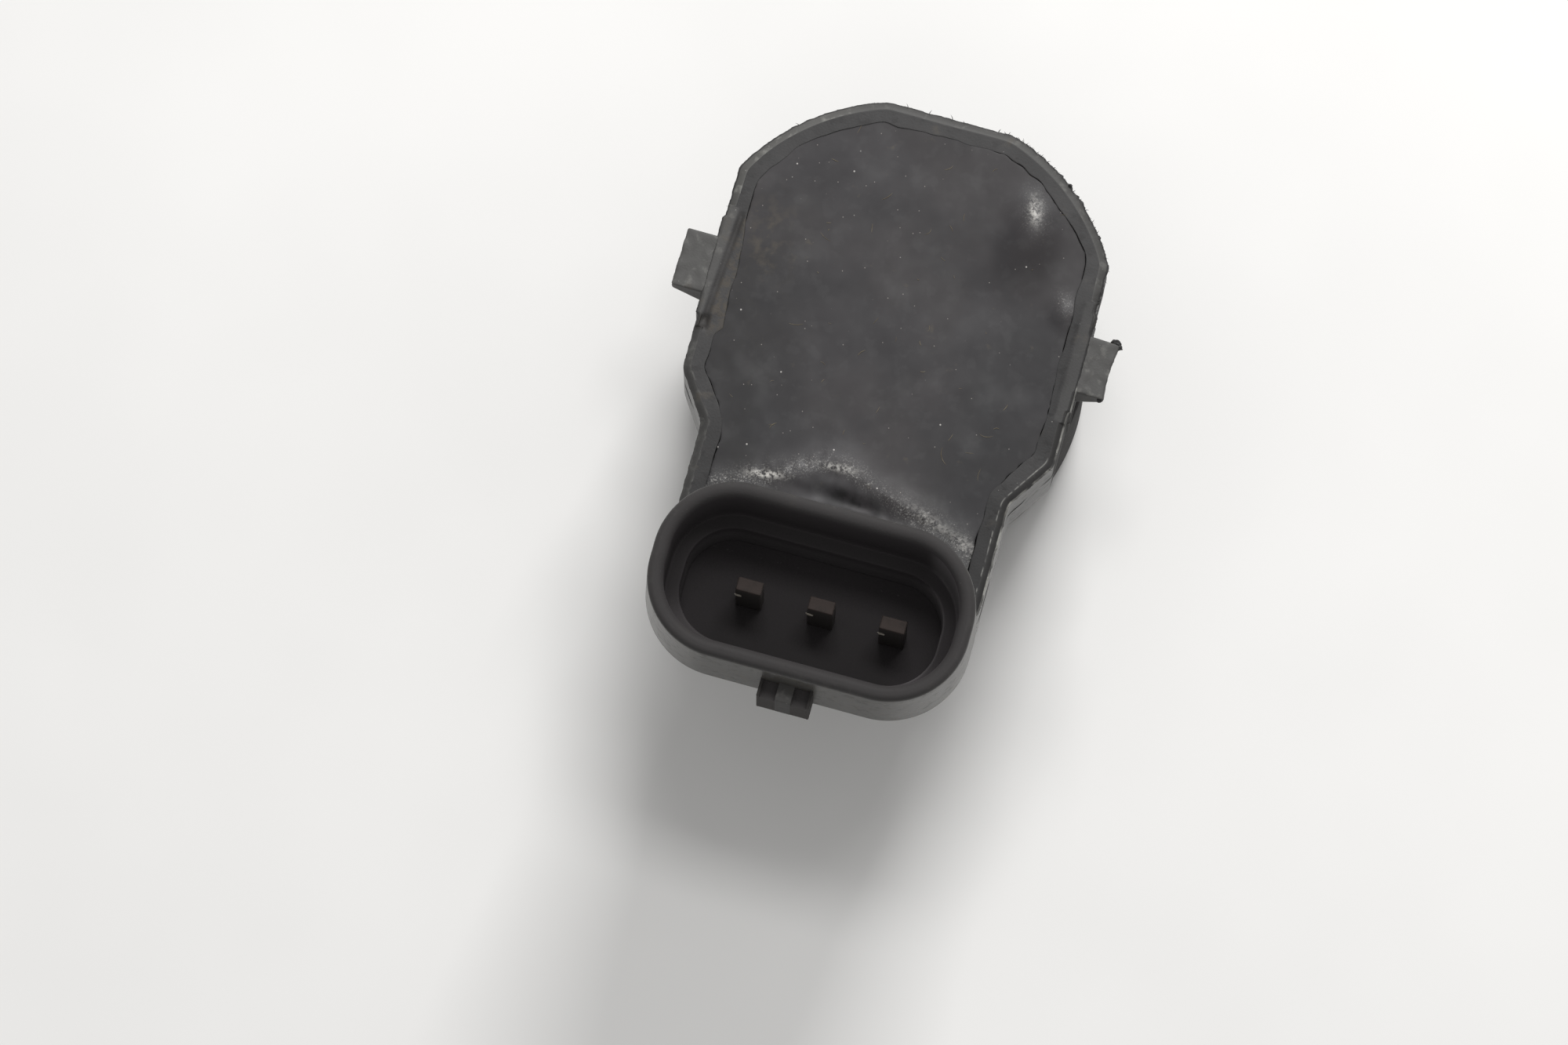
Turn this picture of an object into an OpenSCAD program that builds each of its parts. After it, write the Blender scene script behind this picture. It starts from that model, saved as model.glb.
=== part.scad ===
// Ultrasonic parking sensor, standing on its front face with the potted back upwards.
// The plug socket lies towards -Y. The origin is on the sensor axis at the front face.
// All sizes are in millimetres.

/* [Tray] */
// Radius of the tray's round back rim
tray_r = 14.25; // [14:0.05:15.5]
// Width of the tray over its side flats
tray_w = 25; // [24.4:0.1:27]
// Distance from the axis to the flat at the far end
end_flat = 13.6; // [13:0.1:13.9]
// Distance from the axis to where the side flats end
shoulder_start = 7.1; // [6:0.1:7.6]
// Distance from the axis to where the neck begins
shoulder_end = 10.3; // [9.8:0.1:11]
// Width of the neck that carries the socket
neck_w = 20.7; // [20:0.1:22]
// Thickness of the tray's side walls
wall = 1.4; // [1.2:0.1:1.7]
// Thickness of the tray's floor
floor_t = 1.4; // [1:0.1:1.8]
// Depth of the tray, from its rim to the underside of its floor
tray_depth = 7.9; // [7.6:0.1:10]
// Distance of the potting's surface below the rim
fill_drop = 0.15; // [0:0.05:0.4]

/* [Potting] */
// Radius of the fillet of resin that creeps up the socket's back wall
meniscus_r = 1.5; // [0.8:0.1:2]
// Radius of the round lump in the resin
lump_r = 4; // [3:0.1:6]
// Height of the lump above the resin
lump_h = 0.3; // [0.1:0.05:0.5]
// Radius of the hollow beside the lump
dip_r = 8; // [6:0.1:12]
// Depth of the hollow
dip_depth = 0.35; // [0.1:0.05:0.5]

/* [Clip tabs] */
// Overall width over the two clip tabs
tabs_span = 29.2; // [28.4:0.1:31]
// Width of each tab along the tray's side
tab_w = 3.9; // [3:0.1:5]
// Thickness of a tab at its tip
tab_tip_t = 0.9; // [0.6:0.1:1.4]
// Thickness of a tab at its root
tab_root_t = 3.2; // [2.4:0.1:4]
// How far the pad behind a tab stands proud of the side flat
pad_proud = 0.15; // [0.1:0.05:0.3]
// Length of that pad
pad_l = 6.7; // [5.6:0.1:7.6]
// Width of the relief groove behind a tab
groove_w = 0.65; // [0.4:0.05:0.7]
// Length of the relief groove
groove_l = 7.9; // [6:0.1:8.6]
// Depth of the relief groove
groove_depth = 1.6; // [0.8:0.1:2.4]

/* [Nose] */
// Diameter of the round nose
nose_d = 25.8; // [25.4:0.1:27.6]
// Length of the nose, from the front face to the tray
nose_len = 12.6; // [12:0.1:15]
// Distance of the nose's front edge behind the front face
nose_setback = 0.5; // [0.4:0.1:1]
// Length of the lead-in taper at the nose's front
taper_len = 1; // [0.6:0.1:3]
// How much the taper takes off the radius
taper_in = 0.6; // [0.3:0.1:1]
// Thickness of the inner seat that the transducer bears on
seat_t = 1.5; // [1:0.1:1.8]
// Diameter of the well under the circuit board
well_d = 20.8; // [20.2:0.1:21.2]

/* [Transducer] */
// Diameter of the aluminium cup
cup_d = 18; // [17.6:0.1:18.4]
// Length of the cup
cup_len = 8.6; // [8:0.1:9]
// Thickness of the cup's wall
cup_wall = 1.6; // [1.2:0.1:2]
// Thickness of the cup's vibrating face
membrane_t = 0.8; // [0.6:0.1:1.2]
// How far the cup's back flange stands out
flange_out = 0.9; // [0.5:0.1:1.2]
// Thickness of the cup's back flange
flange_t = 1.2; // [0.8:0.1:1.6]
// Radial thickness of the decoupling ring
ring_t = 2.2; // [1.8:0.1:2.3]
// Thickness of the ring's lip behind the flange
ring_lip = 0.4; // [0.3:0.1:0.8]
// Distance of the ring's front edge behind the front face
ring_setback = 0.3; // [0.2:0.05:0.5]
// Height of the snap bead around the ring
bead_out = 0.4; // [0.2:0.1:0.5]
// Width of the snap bead
bead_w = 1.2; // [0.8:0.1:2]
// Diameter of the piezo disc
piezo_d = 8; // [7:0.1:9]
// Thickness of the piezo disc
piezo_t = 0.4; // [0.2:0.1:0.6]
// Thickness of the absorber pad
absorber_t = 3.8; // [2.6:0.1:4.6]
// Diameter of the two transducer leads
lead_d = 0.5; // [0.4:0.05:0.7]

/* [Socket] */
// Outer width of the socket's shroud
socket_w = 21.5; // [21:0.1:23]
// Outer depth of the socket's shroud
socket_d = 11.9; // [11.6:0.1:13]
// Outer corner radius of the shroud
socket_r = 5.4; // [4.6:0.1:5.7]
// Thickness of the shroud's wall
socket_wall = 1.2; // [1:0.1:1.4]
// Distance from the sensor axis to the socket's centre
socket_reach = 20.4; // [20:0.1:21.6]
// Offset of the socket from the middle of the neck
socket_shift = -0.2; // [-0.4:0.1:0.4]
// Distance from the socket's centre back to the end of the neck's sides
neck_gap = 2.4; // [2:0.1:3]
// Height of the shroud above the tray's rim
socket_h = 6.6; // [6.2:0.1:9]
// Height of the socket's ledge above the tray's rim
ledge_h = 1; // [0.8:0.1:1.4]
// Depth of the terminal pocket below the tray's rim
pocket_depth = 2.9; // [2:0.1:3.2]
// Thickness of the terminal pocket's floor
pocket_floor_t = 1.2; // [1:0.1:1.6]
// Distance by which the chamber below the shroud is set in
chamber_inset = 1; // [0.6:0.1:1.1]
// Distance that the terminal block reaches past the socket's centre
block_past = 1.6; // [1.4:0.1:2.4]
// Width of the locking lug
lug_w = 3.75; // [3.2:0.05:5]
// How far the locking lug stands out
lug_out = 1.3; // [0.9:0.1:2]
// Height of the locking lug
lug_h = 3.9; // [3:0.1:5]
// Width of each of the lug's two cored pockets
lug_core_w = 1.05; // [0.6:0.05:1.1]

/* [Terminals] */
// Distance between neighbouring terminals
pin_pitch = 4.8; // [4.4:0.1:5.2]
// Offset of the terminal row from the middle
pin_shift = 0.5; // [-0.4:0.1:0.6]
// Width of a terminal blade
pin_w = 1.6; // [1.2:0.1:2]
// Thickness of a terminal
pin_t = 0.8; // [0.6:0.1:1]
// Distance of the blade tips below the socket's mouth
pin_drop = 4.2; // [4:0.1:5]
// Cover of the pocket's floor over the terminal legs
leg_cover = 0.9; // [0.6:0.1:1.2]
// Width of a terminal's soldered tail
tail_w = 0.8; // [0.6:0.05:1]
// Distance from the sensor axis to the soldered tails
tail_reach = 7.9; // [7.2:0.1:8.2]
// Length of a tail below the circuit board
tail_out = 0.6; // [0.4:0.1:1]

/* [Electronics] */
// Thickness of the circuit board
board_t = 1.2; // [0.8:0.1:1.2]
// Gap between the circuit board's edge and the tray's wall
board_gap = 0.15; // [0.1:0.05:0.2]
// Width of the control chip's body
chip_w = 4.4; // [3.8:0.1:5]
// Length of the control chip's body
chip_l = 6.2; // [5.8:0.1:7]
// Height of the control chip's body
chip_h = 1.6; // [1.2:0.1:2]
// Length of the control chip's legs
chip_leg = 0.9; // [0.7:0.1:1.2]
// Thickness of the control chip's legs
chip_leg_t = 0.2; // [0.15:0.05:0.3]
// Diameter of the storage capacitor's can
can_d = 4; // [3.5:0.1:4.4]
// Height of the storage capacitor
can_h = 4; // [3:0.1:4.3]
// Thickness of the storage capacitor's base plate
can_base_t = 0.6; // [0.4:0.1:1]
// How far the base plate stands out past the can
can_base_out = 0.15; // [0.1:0.05:0.3]
// Length of a chip capacitor or resistor
chip_part_l = 1.6; // [1.4:0.1:2]
// Width of a chip capacitor or resistor
chip_part_w = 0.8; // [0.6:0.1:1.2]
// Height of a chip resistor
resistor_h = 0.45; // [0.3:0.05:0.6]
// Length of the protection diode's body
diode_l = 2.6; // [2:0.1:3]
// Width of the protection diode's body
diode_w = 1.6; // [1.2:0.1:2]
// Height of the protection diode
diode_h = 1.1; // [0.8:0.1:1.4]
// Length of the protection diode's soldered tabs
diode_tab = 0.5; // [0.3:0.1:0.7]
// Space left round a wire where it passes through a hole
wire_gap = 0.05; // [0.02:0.01:0.1]
// Diameter of the transformer's ferrite core
core_d = 6; // [5:0.1:6.4]
// Height of the transformer's ferrite core
core_h = 3.1; // [2.4:0.1:3.2]

/* [Hidden] */
$fn = 96;

// Cut tools run past the faces that they open
over = 1;

// Heights above the front face
rim_z = nose_len + tray_depth;
fill_z = rim_z - fill_drop;
floor_z = nose_len + floor_t;
board_top = floor_z + board_t;
mouth_z = rim_z + socket_h;
ledge_z = rim_z + ledge_h;
pocket_z = rim_z - pocket_depth;
chamber_z = pocket_z - pocket_floor_t;
pin_tip_z = mouth_z - pin_drop;
seat_z = cup_len + ring_lip;
well_z = seat_z + seat_t;

// Terminal legs lie under the pocket's floor
leg_top = pocket_z - leg_cover;
leg_z = leg_top - pin_t;

// Radii about the sensor axis
cup_r = cup_d / 2;
cup_bore_r = cup_r - cup_wall;
flange_r = cup_r + flange_out;
bore_r = cup_r + ring_t;
nose_r = nose_d / 2;
seat_hole_r = cup_r - ring_lip;
bead_z = seat_z / 2;

// The socket stands towards -Y
socket_y = -socket_reach;
socket_back_y = socket_y + socket_d / 2;
socket_front_y = socket_y - socket_d / 2;
neck_end_y = socket_y + neck_gap;
block_end_y = socket_y - block_past;
lug_skin = (lug_w - 2 * lug_core_w) / 7;

// Inside of the tray, and the circuit board's half width and round edge
space_r = tray_r - wall;
board_side = tray_w / 2 - wall - board_gap;
board_r = space_r - board_gap;

// Places of parts on the circuit board, as X and Y
signal_lead_at = piezo_d * [0.15, -0.375];
ground_lead_at = [0, cup_r - cup_wall / 2];
chip_at = board_side * [-0.42, 0.146];
can_at = board_side * [0.49, 0.31];
diode_at = board_side * [0.55, -0.31];
transformer_at = board_side * [-0.42, -0.137];
capacitor_angles = [57, 71, 109, 123];
capacitor_places = [for (a = capacitor_angles) (board_r - chip_part_l) * [cos(a), sin(a)]];
resistor_count = 5;
resistor_start = board_side * [-0.756, -0.45];
resistor_step = 0.21 * board_side;
resistor_places = [for (i = [0 : resistor_count - 1]) resistor_start + [i * resistor_step, 0]];

// Places of the lump and the hollow in the resin, as X and Y
lump_at = space_r * [0.54, 0.72];
dip_at = space_r * [0.48, 0.4];

// Sloping shoulder line: its outward normal and distance from the axis
shoulder_run = [tray_w / 2 - neck_w / 2, shoulder_end - shoulder_start];
shoulder_n = [shoulder_run[1], -shoulder_run[0]] / norm(shoulder_run);
shoulder_c = shoulder_n * [tray_w / 2, -shoulder_start];

// Height on the sloping shoulder line at a given x, with the line moved in by inset
function shoulder_y(x, inset) = (shoulder_c - inset - shoulder_n[0] * x) / shoulder_n[1];

// Tray outline seen from the back, moved in by inset and ended at end_y
module tray_outline(inset, end_y) {
    side = tray_w / 2 - inset;
    throat = neck_w / 2 - inset;
    intersection() {
        polygon([
            [-side, end_flat - inset],
            [side, end_flat - inset],
            [side, shoulder_y(side, inset)],
            [throat, shoulder_y(throat, inset)],
            [throat, end_y],
            [-throat, end_y],
            [-throat, shoulder_y(throat, inset)],
            [-side, shoulder_y(side, inset)]
        ]);
        union() {
            circle(r = tray_r - inset);
            translate([-tray_w, -2 * socket_reach])
                square([2 * tray_w, 2 * socket_reach]);
        }
    }
}

// Rectangle with round corners, centred on the origin
module rounded_rect(w, d, r) {
    square([w - 2 * r, d], center = true);
    square([w, d - 2 * r], center = true);
    for (sx = [-1, 1], sy = [-1, 1])
        translate([sx * (w / 2 - r), sy * (d / 2 - r)])
            circle(r = r);
}

// Socket outline moved in by inset
module socket_outline(inset) {
    translate([socket_shift, socket_y])
        rounded_rect(socket_w - 2 * inset, socket_d - 2 * inset, socket_r - inset);
}

// Space inside the tray and the well under it, filled up to top
module tray_space(top) {
    translate([0, 0, floor_z])
        linear_extrude(top - floor_z)
            tray_outline(wall, socket_back_y);
    translate([0, 0, well_z])
        cylinder(d = well_d, h = floor_z - well_z);
    translate([0, 0, cup_len])
        cylinder(r = seat_hole_r, h = well_z - cup_len);
}

// Round nose with its lead-in taper
module nose_body() {
    rotate_extrude()
        polygon([
            [0, nose_setback],
            [nose_r - taper_in, nose_setback],
            [nose_r, nose_setback + taper_len],
            [nose_r, nose_len],
            [0, nose_len]
        ]);
}

// Bore of the nose that takes the decoupling ring, with the groove for its bead
module nose_bore() {
    cylinder(r = bore_r, h = seat_z);
    translate([0, 0, bead_z])
        cylinder(r = bore_r + bead_out, h = bead_w);
}

// Clip tab on the +X side, thick at its root and thin at its tip
module clip_tab() {
    root_x = tray_w / 2 - wall / 2;
    translate([0, tab_w / 2, 0])
        rotate([90, 0, 0])
            linear_extrude(tab_w)
                polygon([
                    [root_x, rim_z - fill_drop],
                    [tabs_span / 2, rim_z - fill_drop],
                    [tabs_span / 2, rim_z - fill_drop - tab_tip_t],
                    [tray_w / 2, rim_z - tab_root_t],
                    [root_x, rim_z - tab_root_t]
                ]);
}

// Pad on the +X side that backs the tab
module tab_pad() {
    translate([tray_w / 2 - wall / 2, -pad_l / 2, nose_len])
        cube([wall / 2 + pad_proud, pad_l, tray_depth]);
}

// Relief groove on the +X side, between the tab and the potting
module tab_groove() {
    skin = (wall - groove_w) / 3;
    translate([tray_w / 2 - wall + skin, -groove_l / 2, rim_z - groove_depth])
        cube([groove_w, groove_l, groove_depth + over]);
}

// Socket shroud, the chamber under it and the block that holds the terminals
module socket_body() {
    translate([0, 0, rim_z])
        linear_extrude(socket_h)
            socket_outline(0);
    translate([0, 0, chamber_z])
        linear_extrude(rim_z - chamber_z + over / 2)
            socket_outline(chamber_inset);
    block_w = neck_w - 2 * chamber_inset;
    translate([-block_w / 2, block_end_y, nose_len])
        cube([block_w, neck_end_y - block_end_y + over, pocket_z - nose_len]);
}

// Opening of the socket: the plug space and the narrower terminal pocket
module socket_space() {
    translate([0, 0, ledge_z])
        linear_extrude(mouth_z - ledge_z + over)
            socket_outline(socket_wall);
    translate([0, 0, pocket_z])
        linear_extrude(ledge_z - pocket_z + over)
            socket_outline(chamber_inset + socket_wall);
}

// Locking lug on the outer side of the shroud, with two cored pockets
module locking_lug() {
    root_y = socket_front_y + socket_wall / 2;
    lug_front_y = socket_front_y - lug_out;
    rib_w = lug_w - 2 * lug_core_w - 2 * lug_skin;
    difference() {
        translate([socket_shift - lug_w / 2, lug_front_y, rim_z])
            cube([lug_w, root_y - lug_front_y, lug_h]);
        for (side = [-1, 1])
            translate([
                socket_shift + side * (rib_w + lug_core_w) / 2 - lug_core_w / 2,
                lug_front_y + lug_skin,
                rim_z + lug_skin
            ])
                cube([lug_core_w, lug_out - lug_skin, lug_h]);
    }
}

// One terminal: blade in the socket, leg through the wall and tail through the board
module terminal(x) {
    blade_y = socket_y - pin_t / 2;
    translate([x - pin_w / 2, blade_y, leg_z])
        cube([pin_w, pin_t, pin_tip_z - leg_z]);
    translate([x - pin_w / 2, blade_y, leg_z])
        cube([pin_w, -tail_reach + pin_t / 2 - blade_y, pin_t]);
    translate([x - tail_w / 2, -tail_reach - pin_t / 2, floor_z - tail_out])
        cube([tail_w, pin_t, leg_z + pin_t - floor_z + tail_out]);
}

// Transducer lead: a straight wire from z0 up through the circuit board
module lead(at, z0, gap = 0) {
    translate([at[0], at[1], z0])
        cylinder(d = lead_d + 2 * gap, h = board_top + lead_d - z0, $fn = 32);
}

// Box-shaped chip part standing on the circuit board
module chip_part(at, size) {
    translate([at[0] - size[0] / 2, at[1] - size[1] / 2, board_top])
        cube(size);
}

// Everything that the potting flows around
module embedded_pieces() {
    circuit_board();
    control_chip();
    transformer_core();
    transformer_winding();
    storage_capacitor();
    chip_capacitors();
    chip_resistors();
    protection_diode();
    supply_terminal();
    signal_terminal();
    earth_terminal();
    lead(signal_lead_at, membrane_t + piezo_t);
    lead(ground_lead_at, cup_len);
}

module housing() {
    color("#3a3a3c")
        difference() {
            union() {
                nose_body();
                translate([0, 0, nose_len])
                    linear_extrude(tray_depth)
                        tray_outline(0, neck_end_y);
                for (side = [0, 1])
                    mirror([side, 0, 0]) {
                        clip_tab();
                        tab_pad();
                    }
                socket_body();
                locking_lug();
            }
            nose_bore();
            tray_space(rim_z + over);
            socket_space();
            for (side = [0, 1])
                mirror([side, 0, 0])
                    tab_groove();
            supply_terminal();
            signal_terminal();
            earth_terminal();
        }
}

// Lump of resin, kept inside the tray's walls
module resin_lump() {
    intersection() {
        translate([lump_at[0], lump_at[1], fill_z - lump_r + lump_h])
            sphere(r = lump_r);
        translate([0, 0, fill_z - lump_h])
            linear_extrude(2 * lump_r)
                tray_outline(wall, socket_back_y);
    }
}

// Fillet of resin along the flat part of the socket's back wall
module resin_meniscus() {
    meniscus_l = socket_w - 2 * socket_r;
    translate([socket_shift - meniscus_l / 2, socket_back_y, fill_z - lump_h])
        cube([meniscus_l, meniscus_r, fill_drop + lump_h]);
    translate([socket_shift - meniscus_l / 2, socket_back_y, rim_z])
        rotate([90, 0, 90])
            linear_extrude(meniscus_l)
                difference() {
                    square(meniscus_r);
                    translate([meniscus_r, meniscus_r])
                        circle(r = meniscus_r);
                }
}

module potting_compound() {
    color("#4b494a")
        difference() {
            union() {
                tray_space(fill_z);
                resin_lump();
                resin_meniscus();
            }
            translate([dip_at[0], dip_at[1], fill_z + dip_r - dip_depth])
                sphere(r = dip_r);
            embedded_pieces();
        }
}

module decoupling_ring() {
    color("#2a2a2c")
        rotate_extrude()
            polygon([
                [cup_r, ring_setback],
                [bore_r, ring_setback],
                [bore_r, bead_z],
                [bore_r + bead_out, bead_z],
                [bore_r + bead_out, bead_z + bead_w],
                [bore_r, bead_z + bead_w],
                [bore_r, seat_z],
                [seat_hole_r, seat_z],
                [seat_hole_r, cup_len],
                [flange_r, cup_len],
                [flange_r, cup_len - flange_t],
                [cup_r, cup_len - flange_t]
            ]);
}

module transducer_cup() {
    color("#c3c5c8")
        rotate_extrude()
            polygon([
                [0, 0],
                [cup_r, 0],
                [cup_r, cup_len - flange_t],
                [flange_r, cup_len - flange_t],
                [flange_r, cup_len],
                [cup_bore_r, cup_len],
                [cup_bore_r, membrane_t],
                [0, membrane_t]
            ]);
}

module piezo_disc() {
    color("#c9b98e")
        translate([0, 0, membrane_t])
            cylinder(d = piezo_d, h = piezo_t);
}

module absorber_pad() {
    color("#e4e2da")
        difference() {
            translate([0, 0, membrane_t])
                cylinder(r = cup_bore_r, h = absorber_t);
            piezo_disc();
            lead(signal_lead_at, membrane_t + piezo_t, wire_gap);
        }
}

module cup_seal() {
    color("#8f9498")
        difference() {
            translate([0, 0, membrane_t + absorber_t])
                cylinder(r = cup_bore_r, h = cup_len - membrane_t - absorber_t);
            lead(signal_lead_at, membrane_t + piezo_t, wire_gap);
        }
}

module signal_lead() {
    color("#b87333")
        lead(signal_lead_at, membrane_t + piezo_t);
}

module ground_lead() {
    color("#b87333")
        lead(ground_lead_at, cup_len);
}

module circuit_board() {
    board_end_y = -shoulder_end;
    color("#2f5d3a")
        difference() {
            translate([0, 0, floor_z])
                linear_extrude(board_t)
                    tray_outline(wall + board_gap, board_end_y);
            lead(signal_lead_at, cup_len, wire_gap);
            lead(ground_lead_at, cup_len, wire_gap);
            supply_terminal();
            signal_terminal();
            earth_terminal();
        }
}

// One gull-wing leg of the control chip on its +X side
module chip_leg_shape(w) {
    knee = chip_leg / 2;
    rise = chip_h / 2;
    translate([chip_w / 2, w / 2, 0])
        rotate([90, 0, 0])
            linear_extrude(w)
                polygon([
                    [-chip_leg_t, rise],
                    [knee, rise],
                    [knee, chip_leg_t],
                    [chip_leg, chip_leg_t],
                    [chip_leg, 0],
                    [knee - chip_leg_t, 0],
                    [knee - chip_leg_t, rise - chip_leg_t],
                    [-chip_leg_t, rise - chip_leg_t]
                ]);
}

module control_chip() {
    leg_count = 7;
    leg_pitch = chip_l / (leg_count + 0.5);
    color("#232325")
        translate([chip_at[0], chip_at[1], board_top]) {
            translate([-chip_w / 2, -chip_l / 2, chip_leg_t / 2])
                cube([chip_w, chip_l, chip_h]);
            for (side = [0, 1], i = [0 : leg_count - 1])
                mirror([side, 0, 0])
                    translate([0, (i - (leg_count - 1) / 2) * leg_pitch, 0])
                        chip_leg_shape(leg_pitch / 2);
        }
}

module transformer_core() {
    core_flange_t = core_h / 5;
    color("#4a4644")
        translate([transformer_at[0], transformer_at[1], floor_z - core_h]) {
            cylinder(d = core_d, h = core_flange_t);
            cylinder(d = core_d / 2, h = core_h);
            translate([0, 0, core_h - core_flange_t])
                cylinder(d = core_d, h = core_flange_t);
        }
}

module transformer_winding() {
    core_flange_t = core_h / 5;
    winding_in = core_d / 20;
    color("#9c5a2c")
        translate([transformer_at[0], transformer_at[1], floor_z - core_h + core_flange_t])
            difference() {
                cylinder(r = core_d / 2 - winding_in, h = core_h - 2 * core_flange_t);
                cylinder(d = core_d / 2, h = core_h - 2 * core_flange_t);
            }
}

module storage_capacitor() {
    edge = can_d / 2 + can_base_out;
    corner = can_d / 5;
    color("#b9bcc0")
        translate([can_at[0], can_at[1], board_top]) {
            linear_extrude(can_base_t)
                polygon([
                    [-edge, corner - edge],
                    [corner - edge, -edge],
                    [edge - corner, -edge],
                    [edge, corner - edge],
                    [edge, edge],
                    [-edge, edge]
                ]);
            cylinder(d = can_d, h = can_h);
        }
}

module chip_capacitors() {
    color("#a98a63")
        for (at = capacitor_places)
            chip_part(at, [chip_part_l, chip_part_w, chip_part_w]);
}

module chip_resistors() {
    color("#2b2b2e")
        for (at = resistor_places)
            chip_part(at, [chip_part_l, chip_part_w, resistor_h]);
}

module protection_diode() {
    color("#252527") {
        chip_part(diode_at, [diode_l, diode_w, diode_h]);
        chip_part(diode_at, [diode_l + 2 * diode_tab, diode_w / 2, chip_leg_t]);
    }
}

module supply_terminal() {
    color("#a08a5c")
        terminal(pin_shift - pin_pitch);
}

module signal_terminal() {
    color("#a08a5c")
        terminal(pin_shift);
}

module earth_terminal() {
    color("#a08a5c")
        terminal(pin_shift + pin_pitch);
}

housing();
potting_compound();
decoupling_ring();
transducer_cup();
piezo_disc();
absorber_pad();
cup_seal();
signal_lead();
ground_lead();
circuit_board();
control_chip();
transformer_core();
transformer_winding();
storage_capacitor();
chip_capacitors();
chip_resistors();
protection_diode();
supply_terminal();
signal_terminal();
earth_terminal();
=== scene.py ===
"""Dresses the parking sensor: the moulded housing, the resin in its tray, the terminals and the front.

Shapes are numpy surfaces in millimetres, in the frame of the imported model: the sensor stands on its front
face at z = 0, its potted back is up, and the plug socket lies towards -Y.
"""

import math

import bmesh
import bpy
import numpy as np
from mathutils import Matrix


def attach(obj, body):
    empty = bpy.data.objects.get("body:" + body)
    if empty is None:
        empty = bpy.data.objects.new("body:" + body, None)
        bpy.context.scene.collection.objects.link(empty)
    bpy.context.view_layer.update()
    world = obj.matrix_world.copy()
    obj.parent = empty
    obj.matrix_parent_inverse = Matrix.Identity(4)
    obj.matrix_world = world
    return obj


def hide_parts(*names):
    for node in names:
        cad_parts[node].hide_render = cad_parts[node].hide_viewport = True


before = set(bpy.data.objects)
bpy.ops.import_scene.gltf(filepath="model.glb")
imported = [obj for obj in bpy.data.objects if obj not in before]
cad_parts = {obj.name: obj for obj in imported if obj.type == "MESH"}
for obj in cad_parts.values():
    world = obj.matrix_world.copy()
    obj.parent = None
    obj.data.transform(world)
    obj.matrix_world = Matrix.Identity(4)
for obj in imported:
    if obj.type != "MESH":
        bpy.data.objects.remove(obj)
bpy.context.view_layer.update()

MM = 0.001

# Mesh making: distances below which points merge and edges collapse, and the angle in degrees kept sharp
MERGE_DIST = 0.0005
COLLAPSE_DIST = 0.0002
SHARP_ANGLE = 38.0

# Tray and neck
TRAY_R = 14.25
TRAY_HALF = 12.5
END_FLAT = 13.6
SHOULDER_TOP_Y = -7.1
SHOULDER_FOOT_Y = -10.3
NECK_HALF = 10.35
NECK_END_Y = -18.0
WALL = 1.4
RIM_Z = 20.5
FILL_Z = 20.35
TRAY_FLOOR_Z = 14.0
TRAY_UNDER_Z = 12.6
RESIN_END_Y = -16.5
RESIN_END_STEP = 0.3
FLUSH_Z = 20.46

# Points along the stretches of half the tray's outline, and how often its corners are eased
FLAT_STEPS, ARC_STEPS, SIDE_STEPS = 38, 96, 124
SHOULDER_STEPS, NECK_STEPS, END_STEPS = 34, 60, 96
CORNER_PASSES = 10

# Hills on the resin: height, place, size and turn
RESIN_HILLS = {
    "lump": (0.60, (7.2, 7.7), (1.7, 2.2), 0.25),
    "foot of the lump": (0.16, (6.7, 5.6), (1.9, 2.0), 0.0),
    "dark slope": (-0.28, (6.2, 2.7), (3.1, 2.9), 0.0),
    "bump by the wall": (0.22, (10.5, 3.0), (0.9, 1.0), 0.5),
}

# Painted highlights on the resin, nearly white streaks: strength, place, size and turn
PAINTED_HIGHLIGHT_STREAKS = {
    "lump": (0.9, (6.95, 8.95), (0.32, 0.75), 0.3),
    "left": (1.4, (-5.4, -12.6), (0.95, 0.22), 0.15),
    "arch": (0.8, (-1.0, -10.95), (1.1, 0.22), 0.05),
    "right": (0.35, (5.8, -12.75), (1.6, 0.35), -0.35),
    "corner": (0.4, (8.3, -13.75), (0.8, 0.4), -0.45),
}

# Brown stain on the resin, and painted shade in the recess by the socket: place, size and turn
STAIN = ((-9.4, 2.4), (1.5, 2.6), 0.0)
RECESS_PAINTED_SHADE = ((0.6, -12.85), (2.5, 0.65), -0.12)

# Rim details
PAD_HALF = 3.35
PAD_PROUD = 0.15
PARTING_Z = 16.9
PARTING_PROUD = 0.04
GROOVE_HALF = 3.95
GROOVE_FROM = 0.5
GROOVE_TO = 1.15
GROOVE_DEPTH = 0.09

# Clip tabs
TAB_TIP_X = 14.6
TAB_HALF = 1.95
TAB_TIP_T = 0.9
TAB_ROOT_T = 3.05

# Nose and transducer
NOSE_R = 12.9
NOSE_FRONT_Z = 0.5
NOSE_TAPER = (1.0, 0.6)
BORE_R = 11.2
CUP_R = 9.0
CUP_BORE_R = 7.4
CUP_LEN = 8.6
MEMBRANE_T = 0.8
FLANGE_R = 9.9
FLANGE_T = 1.2
RING_FRONT_Z = 0.3
RING_BACK_Z = 9.0
SEAT_HOLE_R = 8.6
BEAD_OUT = 0.4
BEAD_Z = (4.5, 5.7)

# Socket
SOCKET_AT = (-0.2, -20.4)
SOCKET_HALF = (10.75, 5.95)
SOCKET_R = 5.4
SOCKET_WALL = 1.2
MOUTH_Z = 27.1
LEDGE_Z = 21.5
POCKET_Z = 17.6
CHAMBER_Z = 16.4
CHAMBER_IN = 1.0
BLOCK_HALF = 9.35
BLOCK_END_Y = -22.0

# Locking lug
LUG_HALF = 1.75
LUG_FRONT_Y = -27.45
LUG_BACK_Y = -26.1
LUG_TOP_Z = 24.4
LUG_SKIN = 0.2
LUG_RIB_HALF = 0.54
LUG_HOLLOW = 0.5

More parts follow.
